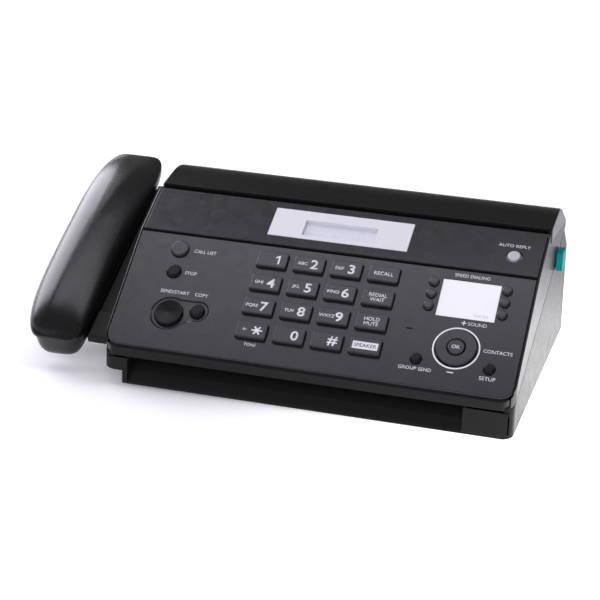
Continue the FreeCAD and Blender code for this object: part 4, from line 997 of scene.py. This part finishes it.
@dataclass
class Handset:
    """Two smooth shells of the handset, crowned on top and hollowed at the grip."""

    half_width: float = 25 * MM
    half_length: float = 96 * MM
    corner_powers: tuple[float, float, float, float] = (3.23, 6.0, 4.2, 7.0)
    flank: float = 11.7 * MM
    arch: float = 12 * MM
    near_end: End = End(8.0, 10.5 * MM, 9 * MM)
    far_end: End = End(4.4, 7.5 * MM, 5.5 * MM)
    end_bend: float = 0.4
    edge_power: float = 7.0
    seam_lift: float = 6.0 * MM
    seam_power: float = 8.0
    seam_reach: float = 9 * MM
    grip_depth: float = 6 * MM
    end_depth: float = 24.3 * MM
    end_depth_power: float = 6.0
    ring_power: float = 3.0
    base_power: float = 3.33
    base_width_share: float = 0.92
    base_length_share: float = 0.98
    lip: float = 0.25 * MM
    lip_shares: tuple[float, ...] = (0.35, 0.8, 0.985, 0.995)
    skin: float = 0.02 * MM
    around: int = 96
    bands: int = 20

    def _half_sizes(self, upper: bool) -> tuple[float, float]:
        """Give half the width and half the length of a shell."""
        shares = (1, 1) if upper else (self.base_width_share, self.base_length_share)
        return self.half_width * shares[0], self.half_length * shares[1]

    def _plan_power(self, across: float, along: float) -> float:
        """Give the power of the outline's corner: near left, near right, far left or far right."""
        return self.corner_powers[2 * (along > 0) + (across > 0)]

    def _half_width_at(self, across: float, along: float, wide: float, long: float) -> float:
        """Give half the width of the plan outline at a station.

        Args:
            across: distance from the middle plane, whose sign tells the side.
            along: distance from the middle of the length.
            wide: half the greatest width.
            long: half the length.

        Returns:
            Half the width on that side.
        """
        share = min(abs(along) / long, 1.0)
        power = self._plan_power(across, along)
        return wide * (1 - share ** power) ** (1 / power)

    def _rise(self, across: float, along: float, upper: bool) -> float:
        """Give the height of the upper shell or the depth of the lower one over a point of the plan.

        Args:
            across: distance from the middle plane.
            along: distance from the middle of the length.
            upper: whether the upper shell is asked for.

        Returns:
            The distance from the seam.
        """
        wide, long = self._half_sizes(upper)
        power = self.edge_power if upper else self.base_power
        share = min(abs(along) / long, 1.0)
        shape = self.far_end if along > 0 else self.near_end
        end = max(1 - share ** shape.power, 0.0) ** self.end_bend
        width = self._half_width_at(across, along, wide, long)
        side = min(abs(across) / width, 1.0) if width > 0 else 1.0
        if upper:
            swell = 1 - share ** 2
            flank = shape.flank + (self.flank - shape.flank) * swell
            arch = shape.arch + (self.arch - shape.arch) * swell
            most = flank + arch * (1 - side ** 2)
        else:
            most = self.grip_depth + self.end_depth * share ** self.end_depth_power
        return most * end * (1 - side ** power) ** (1 / power)

    def _seam(self, along: float, level: float) -> float:
        """Give the lift of the seam near either end, fading out away from the seam.

        Args:
            along: distance from the middle of the length.
            level: distance from the seam.

        Returns:
            The height added to a point.
        """
        share = min(abs(along) / self.half_length, 1.0)
        fade = max(1 - level / self.seam_reach, 0.0)
        return self.seam_lift * share ** self.seam_power * fade

    def _outline(self, share: float, upper: bool) -> Outline:
        """Give a ring of the plan, shrunk to a share of its size.

        Args:
            share: share of the full size.
            upper: whether the upper shell is asked for.

        Returns:
            The ring's points as across and along.
        """
        wide, long = (half * share for half in self._half_sizes(upper))
        points = []
        for step in range(self.around):
            angle = 2 * math.pi * (step + 0.5) / self.around
            power = 2 / self._plan_power(math.cos(angle), math.sin(angle))
            u = math.copysign(abs(math.cos(angle)) ** power, math.cos(angle))
            v = math.copysign(abs(math.sin(angle)) ** power, math.sin(angle))
            points.append((wide * u, long * v))
        return points

    def _shell(self, facet: Facet, middle: Vector, upper: bool) -> bpy.types.Mesh:
        """Skin one shell from its seam to its crown.

        Args:
            facet: plane of the seam.
            middle: middle of the handset on that plane, as across, along and out.
            upper: whether the upper shell is made.

        Returns:
            The closed mesh.
        """
        sign = 1 if upper else -1
        loops = []
        for share in self.lip_shares:
            loops.append([
                (u, v, sign * self.lip + self._seam(v, self.lip))
                for u, v in self._outline(share, upper)
            ])
        for band in range(self.bands):
            share = 1 - (band / self.bands) ** self.ring_power
            loop = []
            for u, v in self._outline(share, upper):
                rise = self._rise(u, v, upper) + (self.skin if band else 0.0)
                loop.append((u, v, sign * rise + self._seam(v, rise)))
            loops.append(loop)
        placed = [
            [facet.spot(middle.x + u, middle.y + v, middle.z + n) for u, v, n in loop]
            for loop in loops
        ]
        floor, crown = (
            facet.spot(middle.x, middle.y, middle.z + sign * height)
            for height in (self.lip, self._rise(0, 0, upper))
        )
        return Bench.rings(placed, floor, crown)

    def build(self, workshop: Workshop) -> None:
        """Make both shells in place of their plain solids.

        Args:
            workshop: source of materials.
        """
        facet = Facet.of("handset_base_shell")
        low, high = facet.extent("handset_top_shell")
        middle = Vector(((low.x + high.x) / 2, (low.y + high.y) / 2, low.z))
        for name, node, upper in (("handset_top", "handset_top_shell", True),
                                  ("handset_base", "handset_base_shell", False)):
            mesh = self._shell(facet, middle, upper)
            piece = Bench.add(name, mesh, workshop.material("handset_plastic"), Rider.HANDSET.value)
            smooth = piece.modifiers.new("smooth", "SUBSURF")
            smooth.levels = 1
            smooth.render_levels = 2
            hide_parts(node)


class CadDress:
    """Finishes of the pieces that come straight from the frame."""

    DARK_BUTTONS = ("button_start", "button_stop", "button_copy", "button_group", "button_menu")

    def __init__(self, workshop: Workshop) -> None:
        """Keep the source of materials."""
        self.workshop = workshop

    def build(self, display: Facet) -> None:
        """Give every node the material of its slot, except the dark buttons, which get a darker finish.

        Args:
            display: plane of the display panel.
        """
        glass = self.workshop.display_glass(display)
        for part in frame["record"]["subparts"]:
            piece = frame["nodes"][part["node"]]
            finish = "button_plastic" if part["node"] in self.DARK_BUTTONS else part["material_slot"]
            material = glass if finish == "display_glass" else self.workshop.material(finish)
            piece.data.materials.clear()
            piece.data.materials.append(material)
            log.info("%s is finished as %s", part["node"], finish)


@dataclass(frozen=True)
class Softbox:
    """Rectangular light: where it hangs, its two sizes, its power in watts and whether gloss shows it."""

    name: str
    place: tuple[float, float, float]
    size: tuple[float, float]
    power: float
    mirrored: bool = True


@dataclass
class Studio:
    """Floor, lights and camera."""

    LIGHTS = (
        Softbox("overhead", (0.2, 0.035, 1.6), (0.65, 2.25), 10),
        Softbox("front_key", (0.0, -2.5, 1.1), (2.6, 1.8), 56, mirrored=False),
        Softbox("left_rear", (-0.98, 0.80, 1.6), (0.45, 0.60), 1.7),
        Softbox("left_back", (-1.5, 0.85, 0.95), (1.4, 1.6), 34),
        Softbox("rear_fill", (0.8, 2.5, 1.5), (1.2, 1.2), 30, mirrored=False),
    )

    place: Vector = Vector((324.21, -1186.54, 487.78)) * MM
    target: Vector = Vector((-2.93, 0.0, 36.92)) * MM
    lens: float = 108.68
    roll: float = math.radians(2.26)
    sensor: float = 36.0
    nearest: float = 0.05
    lit_spot: Vector = Vector((0, 0, 0.05))
    floor_reach: float = 6.0
    floor_cells: int = 8
    floor_roughness: float = 0.8
    floor_colour: Colour = (0.90, 0.90, 0.91)
    air: float = 0.20
    glow: float = 2.5
    glow_base: float = 0.03
    glow_place: tuple[float, float] = (0.20, 0.03)
    glow_reach: tuple[float, float] = (0.31, 0.30)
    cool: Colour = (0.97, 0.96, 1.06)

    def camera(self) -> None:
        """Set the camera at the photograph's viewing angle."""
        back = (self.place - self.target).normalized()
        right = Vector((-back.y, back.x, 0)).normalized()
        up = back.cross(right)
        turned = right * math.cos(self.roll) + up * math.sin(self.roll)
        upright = up * math.cos(self.roll) - right * math.sin(self.roll)
        data = bpy.data.cameras.new("camera")
        data.lens = self.lens
        data.sensor_width = self.sensor
        data.clip_start = self.nearest
        holder = Bench.placed("camera", data)
        turn = Matrix((turned, upright, back)).transposed().to_4x4()
        holder.matrix_world = Matrix.Translation(self.place) @ turn
        bpy.context.scene.camera = holder

    def floor(self) -> None:
        """Lay a pale matte floor."""
        bm = bmesh.new()
        cells = self.floor_cells
        bmesh.ops.create_grid(bm, x_segments=cells, y_segments=cells, size=self.floor_reach)
        mesh = bpy.data.meshes.new("floor")
        bm.to_mesh(mesh)
        bm.free()
        mesh.materials.append(self._table_top())
        Bench.placed("floor", mesh)

    def _table_top(self) -> bpy.types.Material:
        """Make the pale matte floor, which glows under the machine and at its right.

        Returns:
            The material.
        """
        made, tree, shader = Workshop.blank("floor")
        shader.inputs["Base Color"].default_value = (*self.floor_colour, 1)
        shader.inputs["Roughness"].default_value = self.floor_roughness
        shader.inputs["Emission Strength"].default_value = self.glow
        place = tree.nodes.new("ShaderNodeTexCoord")
        shift = Workshop.node(tree, "ShaderNodeMapping", vector_type="TEXTURE")
        shift.inputs["Location"].default_value = (*self.glow_place, 0)
        shift.inputs["Scale"].default_value = (*self.glow_reach, 1)
        patch = Workshop.node(tree, "ShaderNodeTexGradient", gradient_type="SPHERICAL")
        tree.links.new(place.outputs["Object"], shift.inputs["Vector"])
        tree.links.new(shift.outputs["Vector"], patch.inputs["Vector"])
        level = Workshop.node(tree, "ShaderNodeMapRange", {"To Min": self.glow_base},
                              interpolation_type="SMOOTHSTEP")
        tree.links.new(patch.outputs["Fac"], level.inputs["Value"])
        tree.links.new(level.outputs["Result"], shader.inputs["Emission Color"])
        return made

    def hang(self, light: Softbox) -> None:
        """Hang a light that faces the machine.

        Args:
            light: what to hang.
        """
        data = bpy.data.lights.new(light.name, "AREA")
        data.shape = "RECTANGLE"
        data.size, data.size_y = light.size
        data.energy = light.power
        data.color = self.cool
        holder = Bench.placed(light.name, data)
        holder.visible_glossy = light.mirrored
        holder.location = light.place
        holder.rotation_euler = (self.lit_spot - Vector(light.place)).to_track_quat("-Z", "Y").to_euler()

    def build(self) -> None:
        """Set up the whole studio."""
        scene = bpy.context.scene
        scene.view_settings.view_transform = "Standard"
        world = bpy.data.worlds.new("studio")
        world.use_nodes = True
        world.node_tree.nodes["Background"].inputs["Color"].default_value = (1, 1, 1, 1)
        world.node_tree.nodes["Background"].inputs["Strength"].default_value = self.air
        scene.world = world
        self.camera()
        self.floor()
        for light in self.LIGHTS:
            self.hang(light)


def main() -> None:
    """Build the machine's looks in order."""
    logging.basicConfig(level=logging.INFO, format="%(message)s")
    workshop = Workshop()
    letters = Lettering()
    panel = Facet.of("operation_panel")
    display = Facet.of("display_panel")
    Studio().build()
    CadDress(workshop).build(display)
    Keypad().build(panel, letters, workshop)
    PanelPrint().build(panel, display, letters, workshop)
    NavigatorTrim().build(panel, workshop)
    Handset().build(workshop)


if __name__ == "__main__":
    main()
